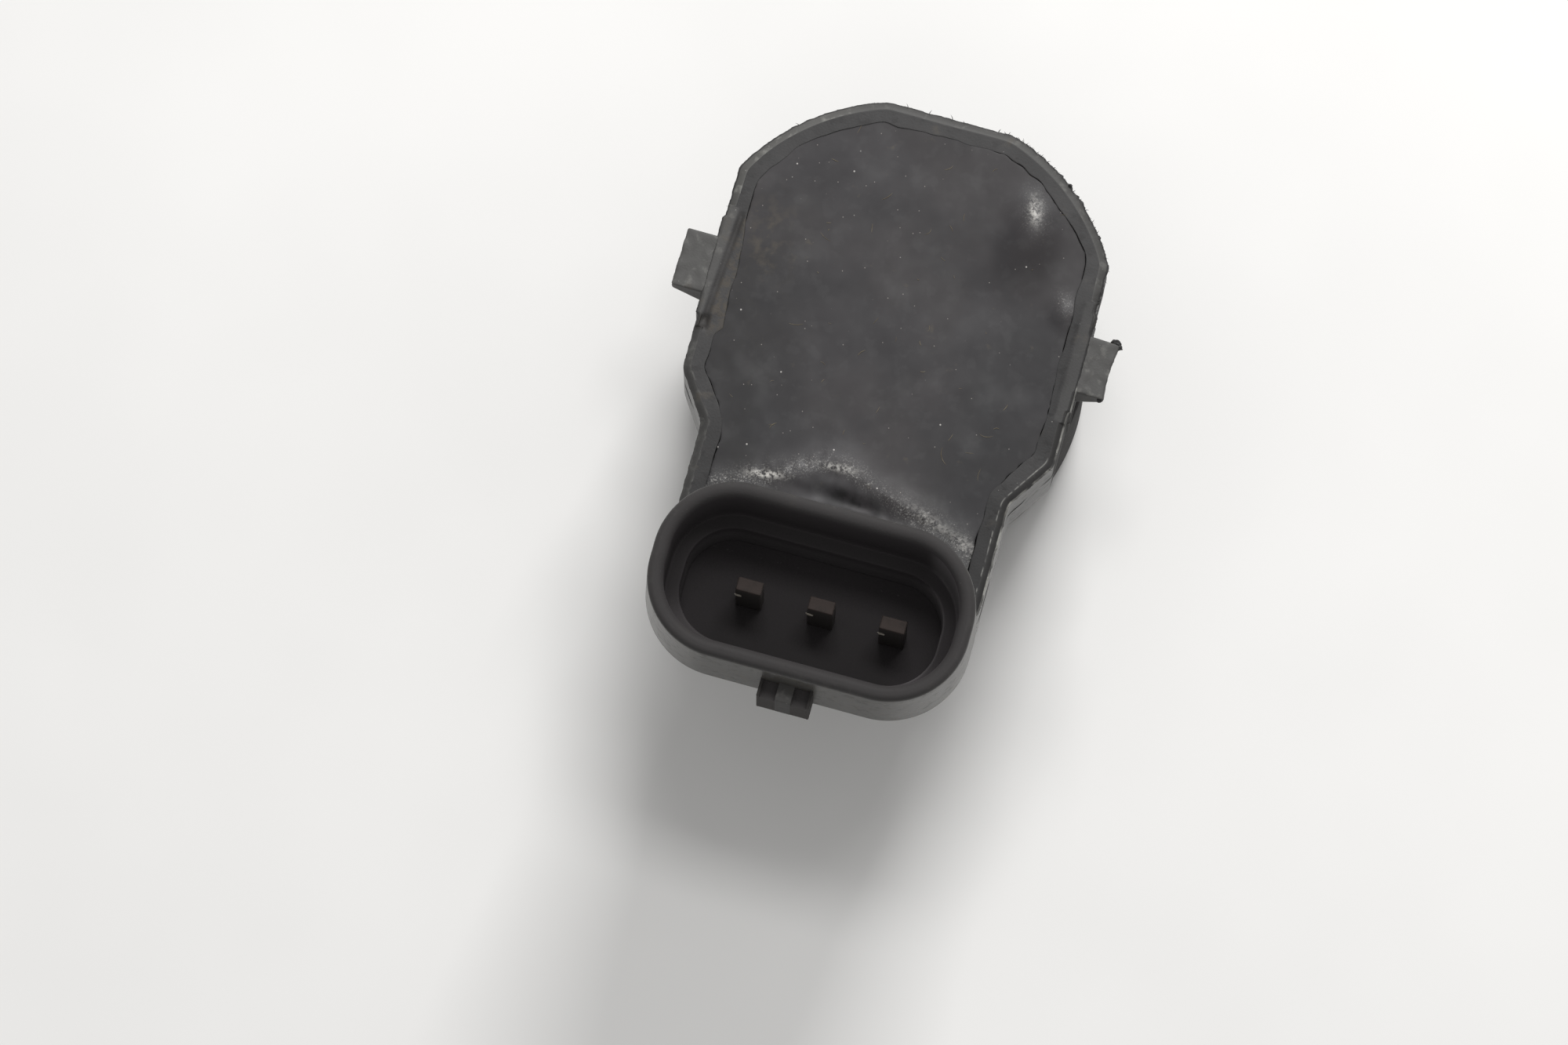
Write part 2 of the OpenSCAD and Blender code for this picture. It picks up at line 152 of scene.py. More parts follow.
# Terminals
PIN_X = {"supply_terminal": -4.3, "signal_terminal": 0.5, "earth_terminal": 5.3}
PIN_Y = -20.4
PIN_HALF = (0.8, 0.4)
PIN_PLATING = 0.06
PIN_TIP_Z = 22.9
LEG_Z = (15.9, 16.7)
TAIL_Y = -7.9
TAIL_HALF = 0.4
TAIL_END_Z = 13.4

# Torn bits of plastic: place, size and seed
TORN_BITS = [
    ((14.3, 1.95, 20.25), (0.3, 0.22, 0.22), 91),
    ((14.55, 1.7, 20.2), (0.2, 0.18, 0.2), 92),
    ((14.25, -1.9, 20.1), (0.16, 0.2, 0.2), 93),
    ((8.7, 11.3, 20.35), (0.13, 0.1, 0.1), 94),
]

# Camera that took the photograph: angles in degrees, lengths in millimetres, picture in pixels
VIEW_AZIMUTH = 14.378
VIEW_ELEVATION = 78.871
VIEW_ROLL = 1.0
VIEW_DISTANCE = 600.0
VIEW_TARGET = (-3.4, -15.318, 20.5)
FOCAL_PIXELS = 11799.6
PICTURE_WIDTH = 2000
SENSOR_WIDTH = 36.0
CLIP_START = 10.0

# Floor: half its side, how far below the part it lies, and points along a side
FLOOR_HALF = 3000.0
FLOOR_DROP = 0.01
FLOOR_POINTS = 9

# Soft lamps: place, target and size in millimetres, and power in watts
OVERHEAD_LAMP = ((6.0, 95.0, 380.0), (-5.0, 5.0, 0.0), (150.0, 60.0), 0.38)
BACK_WINDOW = ((10.0, 330.0, 330.0), (0.0, 0.0, 15.0), (150.0, 100.0), 1.4)

# Strength of the surroundings as light and as what is seen or mirrored
SKY_LIGHT = 0.46
SKY_MIRRORED = 0.8
SKY_FRONT = 0.4
SKY_SEEN = 1.0


def smooth(t):
    """Smooth step: 0 below t = 0, 1 above t = 1, and 3t^2 - 2t^3 between."""
    t = np.clip(t, 0.0, 1.0)
    return t * t * (3.0 - 2.0 * t)


def waves(x, y, length, seed, count=14):
    """Random hills of about one unit: a sum of seeded plane waves, each about length long."""
    rng = np.random.default_rng(seed)
    heading = rng.uniform(0.0, 2.0 * math.pi, count)
    number = 2.0 * math.pi / (length * rng.uniform(0.6, 1.5, count))
    phase = rng.uniform(0.0, 2.0 * math.pi, count)
    along = x[..., None] * np.cos(heading) + y[..., None] * np.sin(heading)
    return np.sin(along * number + phase).sum(axis=-1) * math.sqrt(2.0 / count)


def hill(x, y, at, size, turn):
    """Round hill of height 1: exp(-(u/a)^2 - (v/b)^2), u and v from at along turned axes, size (a, b)."""
    c, s = math.cos(turn), math.sin(turn)
    u = (x - at[0]) * c + (y - at[1]) * s
    v = (y - at[1]) * c - (x - at[0]) * s
    return np.exp(-((u / size[0]) ** 2) - (v / size[1]) ** 2)


def grid_faces(rows, cols, wrap_rows, wrap_cols):
    """Quads between neighbours of a rows x cols grid; wrap joins its last row or column to the first."""
    i, j = np.meshgrid(
        np.arange(rows if wrap_rows else rows - 1),
        np.arange(cols if wrap_cols else cols - 1),
        indexing="ij",
    )
    i2, j2 = (i + 1) % rows, (j + 1) % cols
    corners = [i * cols + j, i * cols + j2, i2 * cols + j2, i2 * cols + j]
    return np.stack(corners, axis=-1).reshape(-1, 4)


def outward(points, faces, centre):
    """Faces turned away from centre: the sum of a.(b x c) over their triangles is positive."""
    a, b, c, d = (points[faces[:, k]] - centre for k in range(4))
    volume = np.einsum("ij,ij->", a, np.cross(b, c)) + np.einsum("ij,ij->", a, np.cross(c, d))
    return faces if volume > 0.0 else faces[:, ::-1]


class Shell:
    """A grid of points, closed along its columns unless told otherwise, with values kept at each point."""

    def __init__(self, points, wrap_rows=False, wrap_cols=True, centre=None, **values):
        self.points = np.asarray(points, float)
        self.wrap = (wrap_rows, wrap_cols)
        self.centre = self.points.reshape(-1, 3).mean(axis=0) if centre is None else centre
        self.values = values


def placed(name, data):
    """New object of some data, linked to the scene."""
    made = bpy.data.objects.new(name, data)
    bpy.context.scene.collection.objects.link(made)
    return made


def make_piece(name, shells, material, stands_for=()):
    """One mesh object out of grids: merged, turned outwards, smooth up to the sharp angle."""
    keys = sorted({key for shell in shells for key in shell.values})
    points, faces, values, first = [], [], {key: [] for key in keys}, 0
    for shell in shells:
        rows, cols = shell.points.shape[:2]
        flat = shell.points.reshape(-1, 3)
        faces.append(outward(flat, grid_faces(rows, cols, *shell.wrap), shell.centre) + first)
        points.append(flat)
        for key in keys:
            values[key].append(np.broadcast_to(shell.values.get(key, 0.0), (rows, cols)).reshape(-1))
        first += len(flat)
    mesh = bpy.data.meshes.new(name)
    mesh.from_pydata(np.concatenate(points) * MM, [], np.concatenate(faces))
    for key, parts in values.items():
        layer = mesh.attributes.new(key, "FLOAT", "POINT")
        layer.data.foreach_set("value", np.concatenate(parts).astype(np.float32))
    work = bmesh.new()
    work.from_mesh(mesh)
    bmesh.ops.remove_doubles(work, verts=work.verts, dist=MERGE_DIST * MM)
    bmesh.ops.dissolve_degenerate(work, edges=work.edges, dist=COLLAPSE_DIST * MM)
    work.to_mesh(mesh)
    work.free()
    mesh.polygons.foreach_set("use_smooth", np.ones(len(mesh.polygons), bool))
    mesh.set_sharp_from_angle(angle=math.radians(SHARP_ANGLE))
    mesh.materials.append(material)
    piece = placed(name, mesh)
    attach(piece, "root")
    if stands_for:
        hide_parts(*stands_for)


def stretch(start, end, count):
    """Points evenly spaced on the line from start up to, but without, end."""
    return np.linspace(start, end, count, endpoint=False)


def soften(loop, passes):
    """Closed loop with eased corners: each point becomes (before + 2 itself + after) / 4, passes times."""
    for _ in range(passes):
        loop = (np.roll(loop, 1, axis=0) + 2.0 * loop + np.roll(loop, -1, axis=0)) / 4.0
    return loop


def tray_loop(inset, end_y):
    """Tray's outline moved in by inset and closed at end_y, from the middle of the far flat round by +X.

    A chain of far flat, arc about the axis, side flat, shoulder, neck and end, then its mirror image.
    """
    radius = TRAY_R - inset
    far_y = END_FLAT - inset
    side_x = TRAY_HALF - inset
    neck_x = NECK_HALF - inset
    far_x = math.sqrt(radius**2 - far_y**2)
    side_y = math.sqrt(radius**2 - side_x**2)
    run = np.array([TRAY_HALF - NECK_HALF, SHOULDER_TOP_Y - SHOULDER_FOOT_Y])
    normal = np.array([run[1], -run[0]]) / np.linalg.norm(run)
    reach = normal @ np.array([TRAY_HALF, SHOULDER_TOP_Y]) - inset
    top = (side_x, (reach - normal[0] * side_x) / normal[1])
    foot = (neck_x, (reach - normal[0] * neck_x) / normal[1])
    turn = stretch(math.atan2(far_y, far_x), math.atan2(side_y, side_x), ARC_STEPS)
    half = np.concatenate([
        stretch((0.0, far_y), (far_x, far_y), FLAT_STEPS),
        radius * np.stack([np.cos(turn), np.sin(turn)], axis=-1),
        stretch((side_x, side_y), top, SIDE_STEPS),
        stretch(top, foot, SHOULDER_STEPS),
        stretch(foot, (neck_x, end_y), NECK_STEPS),
        stretch((neck_x, end_y), (0.0, end_y), END_STEPS),
    ])
    mirrored = (half * (-1.0, 1.0))[:0:-1]
    return np.concatenate([half, [(0.0, end_y)], mirrored])


class TrayRings:
    """Rings between the tray's outline and its middle line: linear in the inset, then linear in the share.

    The end at the socket moves in by end_step from the outline to the deepest inset.
    """

    DEEP = 2.0
    SPINE_Y = (-11.0, 5.0)

    def __init__(self, end_y, end_step=DEEP):
        self.outer = soften(tray_loop(0.0, end_y), CORNER_PASSES)
        self.inner = soften(tray_loop(self.DEEP, end_y + end_step), CORNER_PASSES)
        self.spine = np.stack([0.0 * self.inner[:, 0], np.clip(self.inner[:, 1], *self.SPINE_Y)], axis=-1)
        out = self.outer - self.inner
        self.out = out / np.linalg.norm(out, axis=-1, keepdims=True)
        self.seam = WALL + seam_wander(*self.outer.T)

    def at(self, inset):
        """Ring at an inset, which may change along the ring."""
        share = np.asarray(inset, float) / self.DEEP * np.ones(len(self.outer))
        return self.outer + (self.inner - self.outer) * share[:, None]

    def towards_middle(self, share):
        """Ring that is a share of the way from the deepest inset to the middle line."""
        return self.inner + (self.spine - self.inner) * share


def seam_wander(x, y):
    """How far the line between wall and resin strays from the wall's thickness.

    Two sizes of waves, and on the left a step inwards that lies beside the pad and ends below it.
    """
    step_y = (-4.7, -4.3, -2.5, 0.5, 3.5, 5.0)
    step_in = (0.0, 0.4, 0.36, 0.4, 0.0, 0.0)
    step = np.interp(y, step_y, step_in) * (x < -NECK_HALF)
    return np.clip(step + 0.075 * waves(x, y, 7.0, 3) + 0.03 * waves(x, y, 1.6, 4), -0.2, 0.46)


def seam_open(x, y):
    """How far the seam gapes along the rim, from 0 where resin and wall hold together to 1."""
    stretches = smooth(0.45 + 0.6 * waves(x, y, 4.5, 43) + 0.2 * waves(x, y, 1.2, 44))
    closed = smooth((y - 5.0) / 3.0) * smooth((5.5 - x) / 3.0)
    torn = 0.9 * smooth((x - 5.0) / 2.0) * smooth((y - 1.0) / 2.0)
    return np.maximum(stretches * (1.0 - 0.9 * closed), torn)


def rim_level(x, y):
    """Height of the rim's flat, slightly uneven."""
    return RIM_Z + 0.015 * waves(x, y, 7.0, 13) + 0.004 * waves(x, y, 1.6, 14)


def lifted(ring, z):
    """Ring of x, y points at height z, which may change along the ring."""
    return np.concatenate([ring, (z * np.ones(len(ring)))[:, None]], axis=-1)


def groove_lean(x, y):
    """How far in the left groove lies off its line: it leans outwards towards the socket."""
    return (x < 0.0) * (0.065 * np.clip(y, -4.0, 4.0) - 0.05)


def groove_depth(rings, inset):
    """Depth of the grooves behind the tabs: troughs between two insets, partly filled with dirt."""
    x, y = rings.outer.T
    edge = 0.3
    inset = inset - groove_lean(x, y)
    across = smooth((inset - GROOVE_FROM) / edge) * smooth((GROOVE_TO - inset) / edge)
    along = smooth((GROOVE_HALF - np.abs(y)) / 0.5 + 0.5)
    filled = np.where(x < 0.0, 0.85, 0.3) + 0.12 * waves(x, y, 2.2, 15)
    return GROOVE_DEPTH * across * along * filled * (np.abs(x) > NECK_HALF)


def tray_shell():
    """Tray wall: a profile of insets and heights carried round the outline, closed under the resin.

    From outside in: glossy wall, bevel with a ragged foot, crest with pale dashes, flat with the grooves,
    and the lip at the seam. The dashes and a pale line along the lower right foot are partly wear, partly
    painted highlight; the bevel is painted paler on the far arcs and at the left foot.
    """
    rings = TrayRings(NECK_END_Y)
    x, y = rings.outer.T
    left, on_side = x < 0.0, np.abs(x) > NECK_HALF
    far = smooth((y - 2.0) / 4.0)
    bevel_w = 0.50 + 0.08 * far + 0.02 * waves(x, y, 6.0, 16)
    bevel_h = 0.28 + 0.02 * waves(x, y, 6.0, 17)
    beside_tab = on_side * (np.abs(y) < GROOVE_HALF + 0.3)
    pad = -PAD_PROUD * smooth((PAD_HALF - np.abs(y)) / 0.15 + 0.5) * on_side
    at_tab = on_side * smooth((TAB_HALF + 0.1 - np.abs(y)) / 0.2)
    bevel_w = np.where(beside_tab, 0.22 - 0.1 * at_tab, bevel_w)
    bevel_h = np.where(beside_tab, 0.12 - 0.07 * at_tab, bevel_h)
    ragged = smooth((x - 3.0) / 4.0) * smooth((y + 1.0) / 4.0)
    fuzz = np.random.default_rng(11).standard_normal(len(x))
    fray = (0.012 + 0.032 * ragged) * (0.6 * fuzz + waves(x, y, 0.9, 12))
    level = rim_level(x, y)
    near = smooth((-6.6 - y) / 0.6) * smooth((np.abs(x) - 7.0) / 2.0)
    # Partly wear, partly painted highlight: pale dashes on the crest and a pale line on the lower right
    # foot.
    dashes = smooth(0.4 + 0.9 * waves(x, y, 0.8, 18)) * np.where(x > 0.0, near, 0.25 * near)
    lower_right = smooth((x - 4.0) / 2.0) * smooth((-1.4 - y) / 0.5) * (0.75 + 0.3 * waves(x, y, 1.1, 19))
    # Walls facing the front carry gloss and a painted pale sheen, partly dust.
    wall = 0.15 + 0.85 * smooth(-rings.out[:, 1] / 0.5)
    notch = left * smooth((y + 4.6) / 0.3) * smooth((-3.3 - y) / 0.3) * on_side
    crust_along = left * smooth((5.0 - np.abs(y + 0.3)) / 1.5) * on_side
    neck_soil = np.where(left, 0.38, 0.6) * smooth((-9.0 - y) / 2.0)
    side_soil = 0.5 * smooth((x - 6.0) / 4.0) * smooth((4.5 - y) / 2.0) * smooth((y + 7.5) / 1.0)
    soil = np.clip(neck_soil + side_soil, 0.0, 0.85)
    dull = 0.85 * (x > NECK_HALF) * smooth((4.5 - y) / 4.0) * smooth((y + 7.2) / 0.6)
    rubbed_pad = 0.3 * beside_tab * left
    left_low = smooth((-5.0 - x) / 3.0) * smooth((-4.0 - y) / 2.0)
    # Painted light: the bevel is paler on the far arcs, which face the light, and at the left foot.
    bevel_painted_light = 0.24 * far + 0.3 * far * smooth((-5.0 - x) / 3.0) + 0.16 * left_low
    right_pad = beside_tab * (x > 0.0)
    on_wall = {"gloss": wall, "sheltered": dull, "matt": 1.0}
    on_foot = {"wear": 1.8 * lower_right + 0.2 * left_low, "soil": 0.5 * soil}
    on_crest = {"wear": 1.3 * dashes + rubbed_pad, "dirt": 0.8 * notch, "soil": soil}
    rows, values = [], {key: [] for key in ("wear", "dirt", "gloss", "crust", "soil", "sheltered", "matt")}

    def row(inset, z, **given):
        rows.append(lifted(rings.at(inset), z))
        for key, kept in values.items():
            kept.append(given.get(key, 0.0) * np.ones(len(x)))

    def middle_row(share, z):
        rows.append(lifted(rings.towards_middle(share), z))
        for kept in values.values():
            kept.append(0.0 * x)

    middle_row(1.0, TRAY_UNDER_Z)
    for inset, z in ((2.0, 0.0), (0.6, 0.0), (0.25, 0.02), (0.08, 0.1), (0.0, 0.28)):
        row(inset, TRAY_UNDER_Z + z, **on_wall)
    flash = PARTING_PROUD * smooth(0.7 + 0.5 * waves(x, y, 3.0, 20))
    flash_steps = ((-0.06, 0.0), (-0.02, 1.0), (0.02, 1.0), (0.06, 0.0))
    near_parting = [(PARTING_Z + step, share) for step, share in flash_steps]
    even = [(z, 0.0) for z in (13.6, 14.6, 15.6, 16.4, 17.6, 18.4, 19.0, 19.4, 19.7, 19.9)]
    for z, share in sorted(even + near_parting):
        row(pad - share * flash, z, **on_wall)
    foot = level - bevel_h
    row(pad - 0.3 * fray, foot - 0.1, **{**on_wall, "gloss": 0.8 * wall})
    row(pad - 0.01 - fray, foot - 0.05, **on_foot)
    row(pad + 0.08 - fray, foot + 0.03, **on_foot)
    for share in (0.1, 0.25, 0.4, 0.55, 0.7, 0.82, 0.92):
        inset = pad + 0.08 + (bevel_w - 0.08) * share - 0.5 * fray * (1.0 - share)
        z = foot + 0.03 + (bevel_h - 0.03) * (1.0 - (1.0 - share) ** 1.7)
        row(inset, z, wear=0.1 * share + bevel_painted_light + rubbed_pad, dirt=0.8 * notch, soil=soil)
    row(pad + bevel_w * 0.97, level - 0.006, **on_crest)
    row(pad + bevel_w + 0.03, level + 0.004, **on_crest)
    first, last = pad + bevel_w + 0.07, GROOVE_TO + 0.06
    for share in (0.0, 0.08, 0.16, 0.24, 0.32, 0.4, 0.48, 0.56, 0.64, 0.72, 0.8, 0.86, 0.92, 1.0):
        inset = first + (last - first) * share
        sunk = groove_depth(rings, inset)
        filled = sunk / GROOVE_DEPTH
        notched = notch * smooth((1.0 - inset) / 0.3)
        dirty = np.maximum(0.5 * left * filled, 0.8 * notched)
        on_pad = right_pad * smooth((0.85 - inset) / 0.15)
        leaning = inset - groove_lean(x, y)
        crust = crust_along * smooth((leaning - 0.85) / 0.3) * (1.0 - notched)
        worn = 0.1 * on_pad + rubbed_pad * smooth((0.6 - leaning) / 0.2)
        grubby = np.clip(soil + 0.25 * (x > 0.0) * filled, 0.0, 0.9) * (1.0 - 0.8 * on_pad)
        row(inset, level - sunk - 0.1 * notched, wear=worn, dirt=dirty, crust=crust, soil=grubby)
    lip = rings.seam - last
    gape = 0.15 + 0.85 * seam_open(x, y)
    for share, drop in ((0.4, 0.0), (0.7, 0.0), (0.88, 0.004), (0.95, 0.015), (0.985, 0.035), (1.0, 0.08)):
        row(last + lip * share, level - drop * gape, crust=crust_along, soil=soil)
    for z in (19.6, 18.0, TRAY_FLOOR_Z):
        row(rings.seam, z)
    middle_row(0.0, TRAY_FLOOR_Z)
    middle_row(1.0, TRAY_FLOOR_Z)
    points = np.stack(rows)
    in_socket = socket_gap(points[..., 0], points[..., 1]) < -SOCKET_WALL
    sunk_z = TRAY_FLOOR_Z + 0.5 * (points[..., 2] - TRAY_FLOOR_Z)
    points[..., 2] = np.where(in_socket * (points[..., 2] > TRAY_FLOOR_Z), sunk_z, points[..., 2])
    return Shell(points, **{key: np.stack(kept) for key, kept in values.items()})


def socket_gap(x, y):
    """Distance outside the socket's outline, a rectangle with round corners, negative inside it."""
    qx = np.abs(x - SOCKET_AT[0]) - (SOCKET_HALF[0] - SOCKET_R)
    qy = np.abs(y - SOCKET_AT[1]) - (SOCKET_HALF[1] - SOCKET_R)
    beyond = np.hypot(np.maximum(qx, 0.0), np.maximum(qy, 0.0))
    return beyond + np.minimum(np.maximum(qx, qy), 0.0) - SOCKET_R


def resin_crest(x):
    """Where the resin's ridge at the socket runs: y of its crest, an arch that peaks near the middle."""
    knots = np.array([
        (-11.0, -15.2), (-8.84, -14.34), (-7.07, -13.48), (-5.29, -12.67), (-3.56, -11.87), (-1.92, -11.09),
        (-0.64, -10.96), (0.33, -11.23), (1.97, -11.85), (3.96, -12.38), (6.39, -13.16), (8.03, -13.78),
        (9.24, -14.36), (11.0, -15.2),
    ])
    return np.interp(x, *knots.T)


def resin_top(x, y):
    """Height of the resin: flush with the rim but lower at the upper right, with slow swells.

    On it stand the lump with its dark slope, a bump by the wall and the ridge at the socket.
    """
    flush = FLUSH_Z + (FILL_Z - FLUSH_Z) * smooth((x - 2.0) / 7.0) * smooth(y / 4.0)
    height = flush + 0.015 * waves(x, y, 11.0, 21) + 0.006 * waves(x, y, 3.0, 22)
    for tall, *spot in RESIN_HILLS.values():
        height = height + tall * hill(x, y, *spot)
    before = y - resin_crest(x)
    rise = np.exp(-((np.maximum(before, 0.0) / 1.15) ** 2))
    uneven = 1.0 + 0.10 * waves(x, y, 4.0, 23) + 0.03 * waves(x, y, 1.4, 24)
    height = height + 0.32 * rise * uneven
    height = height - 0.42 * hill(x, y, (0.3, -13.1), (2.7, 0.68), -0.05)
    return height + 0.45 * np.exp(-np.maximum(socket_gap(x, y), 0.0) / 0.4)


def resin_polish_and_glints(x, y):
    """How far the resin is polished and painted with glints: on the lump, the bump by the wall and a band
    along the ridge.
    """
    before = y - resin_crest(x)
    width = np.where(before > 0.0, 0.75, 0.45 + 0.5 * smooth((np.abs(x + 0.5) - 2.5) / 2.0))
    band = np.exp(-(((before - 0.1) / width) ** 2))
    patchy = smooth(0.62 + 0.4 * waves(x, y, 2.6, 31) + 0.2 * waves(x, y, 0.9, 32))
    patchy = patchy * (1.0 - 0.75 * np.exp(-(((x - 2.8) / 1.2) ** 2)))
    lump = 0.8 * hill(x, y, (6.95, 9.0), (0.7, 1.3), 0.35)
    bump = 0.5 * hill(x, y, (10.5, 3.5), (0.5, 0.8), 0.5)
    return np.clip(lump + bump + band * (0.35 + 0.65 * patchy), 0.0, 1.0)


def painted_resin_highlights(x, y):
    """Painted highlights: nearly white short streaks on the ridge and the middle of the lump."""
    streaks = sum(strong * hill(x, y, *spot) for strong, *spot in PAINTED_HIGHLIGHT_STREAKS.values())
    return np.clip(streaks, 0.0, 1.0)


def resin_fade(x, y):
    """How far the resin has faded: most at the far end and along the middle, least beside the socket."""
    aside = smooth((np.abs(x) - 2.5) / 5.0) * smooth((4.0 - y) / 4.0)
    corners = smooth((-4.0 - y) / 6.0) * smooth(np.abs(x) / 8.0)
    return np.clip(0.85 - 0.55 * aside - 0.15 * corners, 0.0, 1.0)


def resin_shell():
    """Resin: rings from the seam to the middle line at the resin's height, closed by a level bottom."""
    rings = TrayRings(RESIN_END_Y, RESIN_END_STEP)
    x, y = rings.outer.T
    gap = 0.002 + 0.012 * waves(x, y, 4.0, 41) + 0.012 * waves(x, y, 0.8, 42)
    edge = rings.seam + np.clip(gap, 0.0, 0.03) * seam_open(x, y)
    open_seam = seam_open(x, y) * smooth(0.35 + gap / 0.03)
    outer = [(rings.at(edge), 0.4)]
    for share, drop in ((0.0, 0.07), (0.015, 0.03), (0.04, 0.01), (0.1, 0.002), (0.35, 0.0), (0.7, 0.0)):
        outer.append((rings.at(edge + (rings.DEEP - edge) * share), drop * open_seam))
    outer += [(rings.towards_middle(share), 0.0) for share in np.linspace(0.0, 1.0, 88)]
    bottom = [rings.towards_middle(1.0), rings.towards_middle(0.0), rings.at(edge)]
    rows = [lifted(ring, TRAY_FLOOR_Z) for ring in bottom]
    rows += [lifted(ring, resin_top(*ring.T) - drop) for ring, drop in outer]
    looks = {
        "polish": resin_polish_and_glints,
        "shine": painted_resin_highlights,
        "faded": resin_fade,
        "stain": lambda x, y: hill(x, y, *STAIN),
        "smudge": lambda x, y: hill(x, y, *RECESS_PAINTED_SHADE),
    }
    below = [0.0 * edge] * len(bottom)
    values = {key: np.stack(below + [look(*ring.T) for ring, _ in outer]) for key, look in looks.items()}
    return Shell(np.stack(rows), **values)


def socket_loop(inset):
    """Socket's outline moved in by inset: a rectangle with quarter circles at its corners."""
    half_x = SOCKET_HALF[0] - inset
    half_y = max(SOCKET_HALF[1] - inset, 0.0)
    radius = max(SOCKET_R - inset, 0.0)
    core_x, core_y = half_x - radius, half_y - radius
    turn = stretch(0.0, math.pi / 2.0, 40)
    quarter = radius * np.stack([np.cos(turn), np.sin(turn)], axis=-1)
    right = stretch((half_x, -core_y), (half_x, core_y), 6)
    upper = stretch((core_x, half_y), (-core_x, half_y), 64)
    corner_a = quarter + (core_x, core_y)
    corner_b = np.stack([-quarter[:, 1], quarter[:, 0]], axis=-1) + (-core_x, core_y)
    half = np.concatenate([right, corner_a, upper, corner_b])
    return np.concatenate([half, -half]) + SOCKET_AT


def socket_shell():
    """Socket: a profile of insets and heights, from chamber to pocket, carried round its outline."""
    draft = 0.16
    mouth_r, lip_r = 0.42, 0.52
    turn = np.linspace(0.0, math.pi / 2.0, 8)
    outside = [(draft + mouth_r * (1 - math.cos(a)), MOUTH_Z - mouth_r * (1 - math.sin(a))) for a in turn]
    inside = [(SOCKET_WALL - lip_r * (1 - math.sin(a)), MOUTH_Z - lip_r * (1 - math.cos(a))) for a in turn]
    middle = SOCKET_HALF[1]
    ledge_in = CHAMBER_IN + SOCKET_WALL
    profile = [
        (middle, CHAMBER_Z), (CHAMBER_IN + 1.2, CHAMBER_Z), (CHAMBER_IN + 0.35, CHAMBER_Z),
        (CHAMBER_IN + 0.1, CHAMBER_Z + 0.1), (CHAMBER_IN, CHAMBER_Z + 0.35), (CHAMBER_IN, 18.5),
        (CHAMBER_IN, RIM_Z - 0.2), (CHAMBER_IN - 0.06, RIM_Z - 0.05), (CHAMBER_IN - 0.2, RIM_Z),
        (0.25, RIM_Z), (0.07, RIM_Z + 0.06), (0.0, RIM_Z + 0.24),
        (0.3 * draft, 22.4), (0.6 * draft, 24.3), (0.9 * draft, 26.2),
        *outside, *inside,
        (SOCKET_WALL, 25.6), (SOCKET_WALL, 24.0), (SOCKET_WALL, 22.4), (SOCKET_WALL, LEDGE_Z + 0.2),
        (SOCKET_WALL + 0.06, LEDGE_Z + 0.06), (SOCKET_WALL + 0.2, LEDGE_Z), (ledge_in - 0.2, LEDGE_Z),
        (ledge_in - 0.05, LEDGE_Z - 0.05), (ledge_in, LEDGE_Z - 0.2), (ledge_in, 19.5),
        (ledge_in, POCKET_Z + 0.2), (ledge_in + 0.06, POCKET_Z + 0.06), (ledge_in + 0.2, POCKET_Z),
        (middle, POCKET_Z),
    ]
    rows = []
    for inset, z in profile:
        loop = socket_loop(inset)
        ripple = 0.02 * waves(*loop.T, 6.0, 51) * (z > RIM_Z + 0.2) * (inset < SOCKET_WALL)
        rows.append(lifted(loop, z + ripple))
    z = np.array(profile)[:, 1]
    inward = np.arange(len(z)) > np.argmax(z)
    worn = np.exp(-(((z - MOUTH_Z) / 0.25) ** 2)) * ~inward
    inside_shelter = 0.85 + 0.15 * smooth((MOUTH_Z - z) / 0.55)
    outside_shelter = 0.85 * smooth((z - MOUTH_Z + 0.4) / 0.4)
    sheltered = np.where(inward, inside_shelter, outside_shelter)
    # Painted light: inside, the colour is paler below the mouth, most on the walls, less on the floor and
    # least on the lit ledge, against the shade there.
    below_mouth = smooth((MOUTH_Z - 0.1 - z) / 0.5)
    on_ledge = np.exp(-(((z - LEDGE_Z) / 0.05) ** 2))
    above_floor = smooth((z - POCKET_Z - 0.03) / 0.3)
    deep = inward * below_mouth * (0.5 + 0.5 * above_floor - 0.5 * on_ledge)
    rows = np.stack(rows)
    # Painted light: paler again on the back wall and the ends, where light falls in.
    back = smooth((rows[..., 1] - SOCKET_AT[1] + 1.5) / 3.0)
    ends = smooth((np.abs(rows[..., 0] - SOCKET_AT[0]) - 5.5) / 2.5)
    above_ledge = smooth((z - LEDGE_Z + 2.5) / 2.5)[:, None]
    left_end = rows[..., 0] < SOCKET_AT[0]
    back = back * (1.0 - 0.7 * above_ledge)
    ends = ends * (1.0 - 0.6 * above_ledge * left_end)
    painted_lit_walls = np.maximum(back, ends)
    # The outer wall carries gloss with a painted pale sheen, partly dust, and brown crust.
    wall = ~inward * smooth((MOUTH_Z - 0.1 - z) / 0.4)
    columns = {"wear": 0.2 * worn, "sheltered": sheltered, "gloss": 0.8 * wall, "crust": 0.6 * wall}
    columns = {key: value[:, None] for key, value in columns.items()}
    return Shell(rows, deep=deep[:, None] * (0.3 + 0.7 * painted_lit_walls), **columns)


def turned(profile, count, closed=False, **values):
    """Surface of revolution about the sensor axis: each radius and height of the profile goes round."""
    profile = np.asarray(profile, float)
    turn = stretch(0.0, 2.0 * math.pi, count)
    x = profile[:, :1] * np.cos(turn)
    y = profile[:, :1] * np.sin(turn)
    return Shell(np.stack([x, y, profile[:, 1:] + 0.0 * x], axis=-1), wrap_rows=closed, **values)


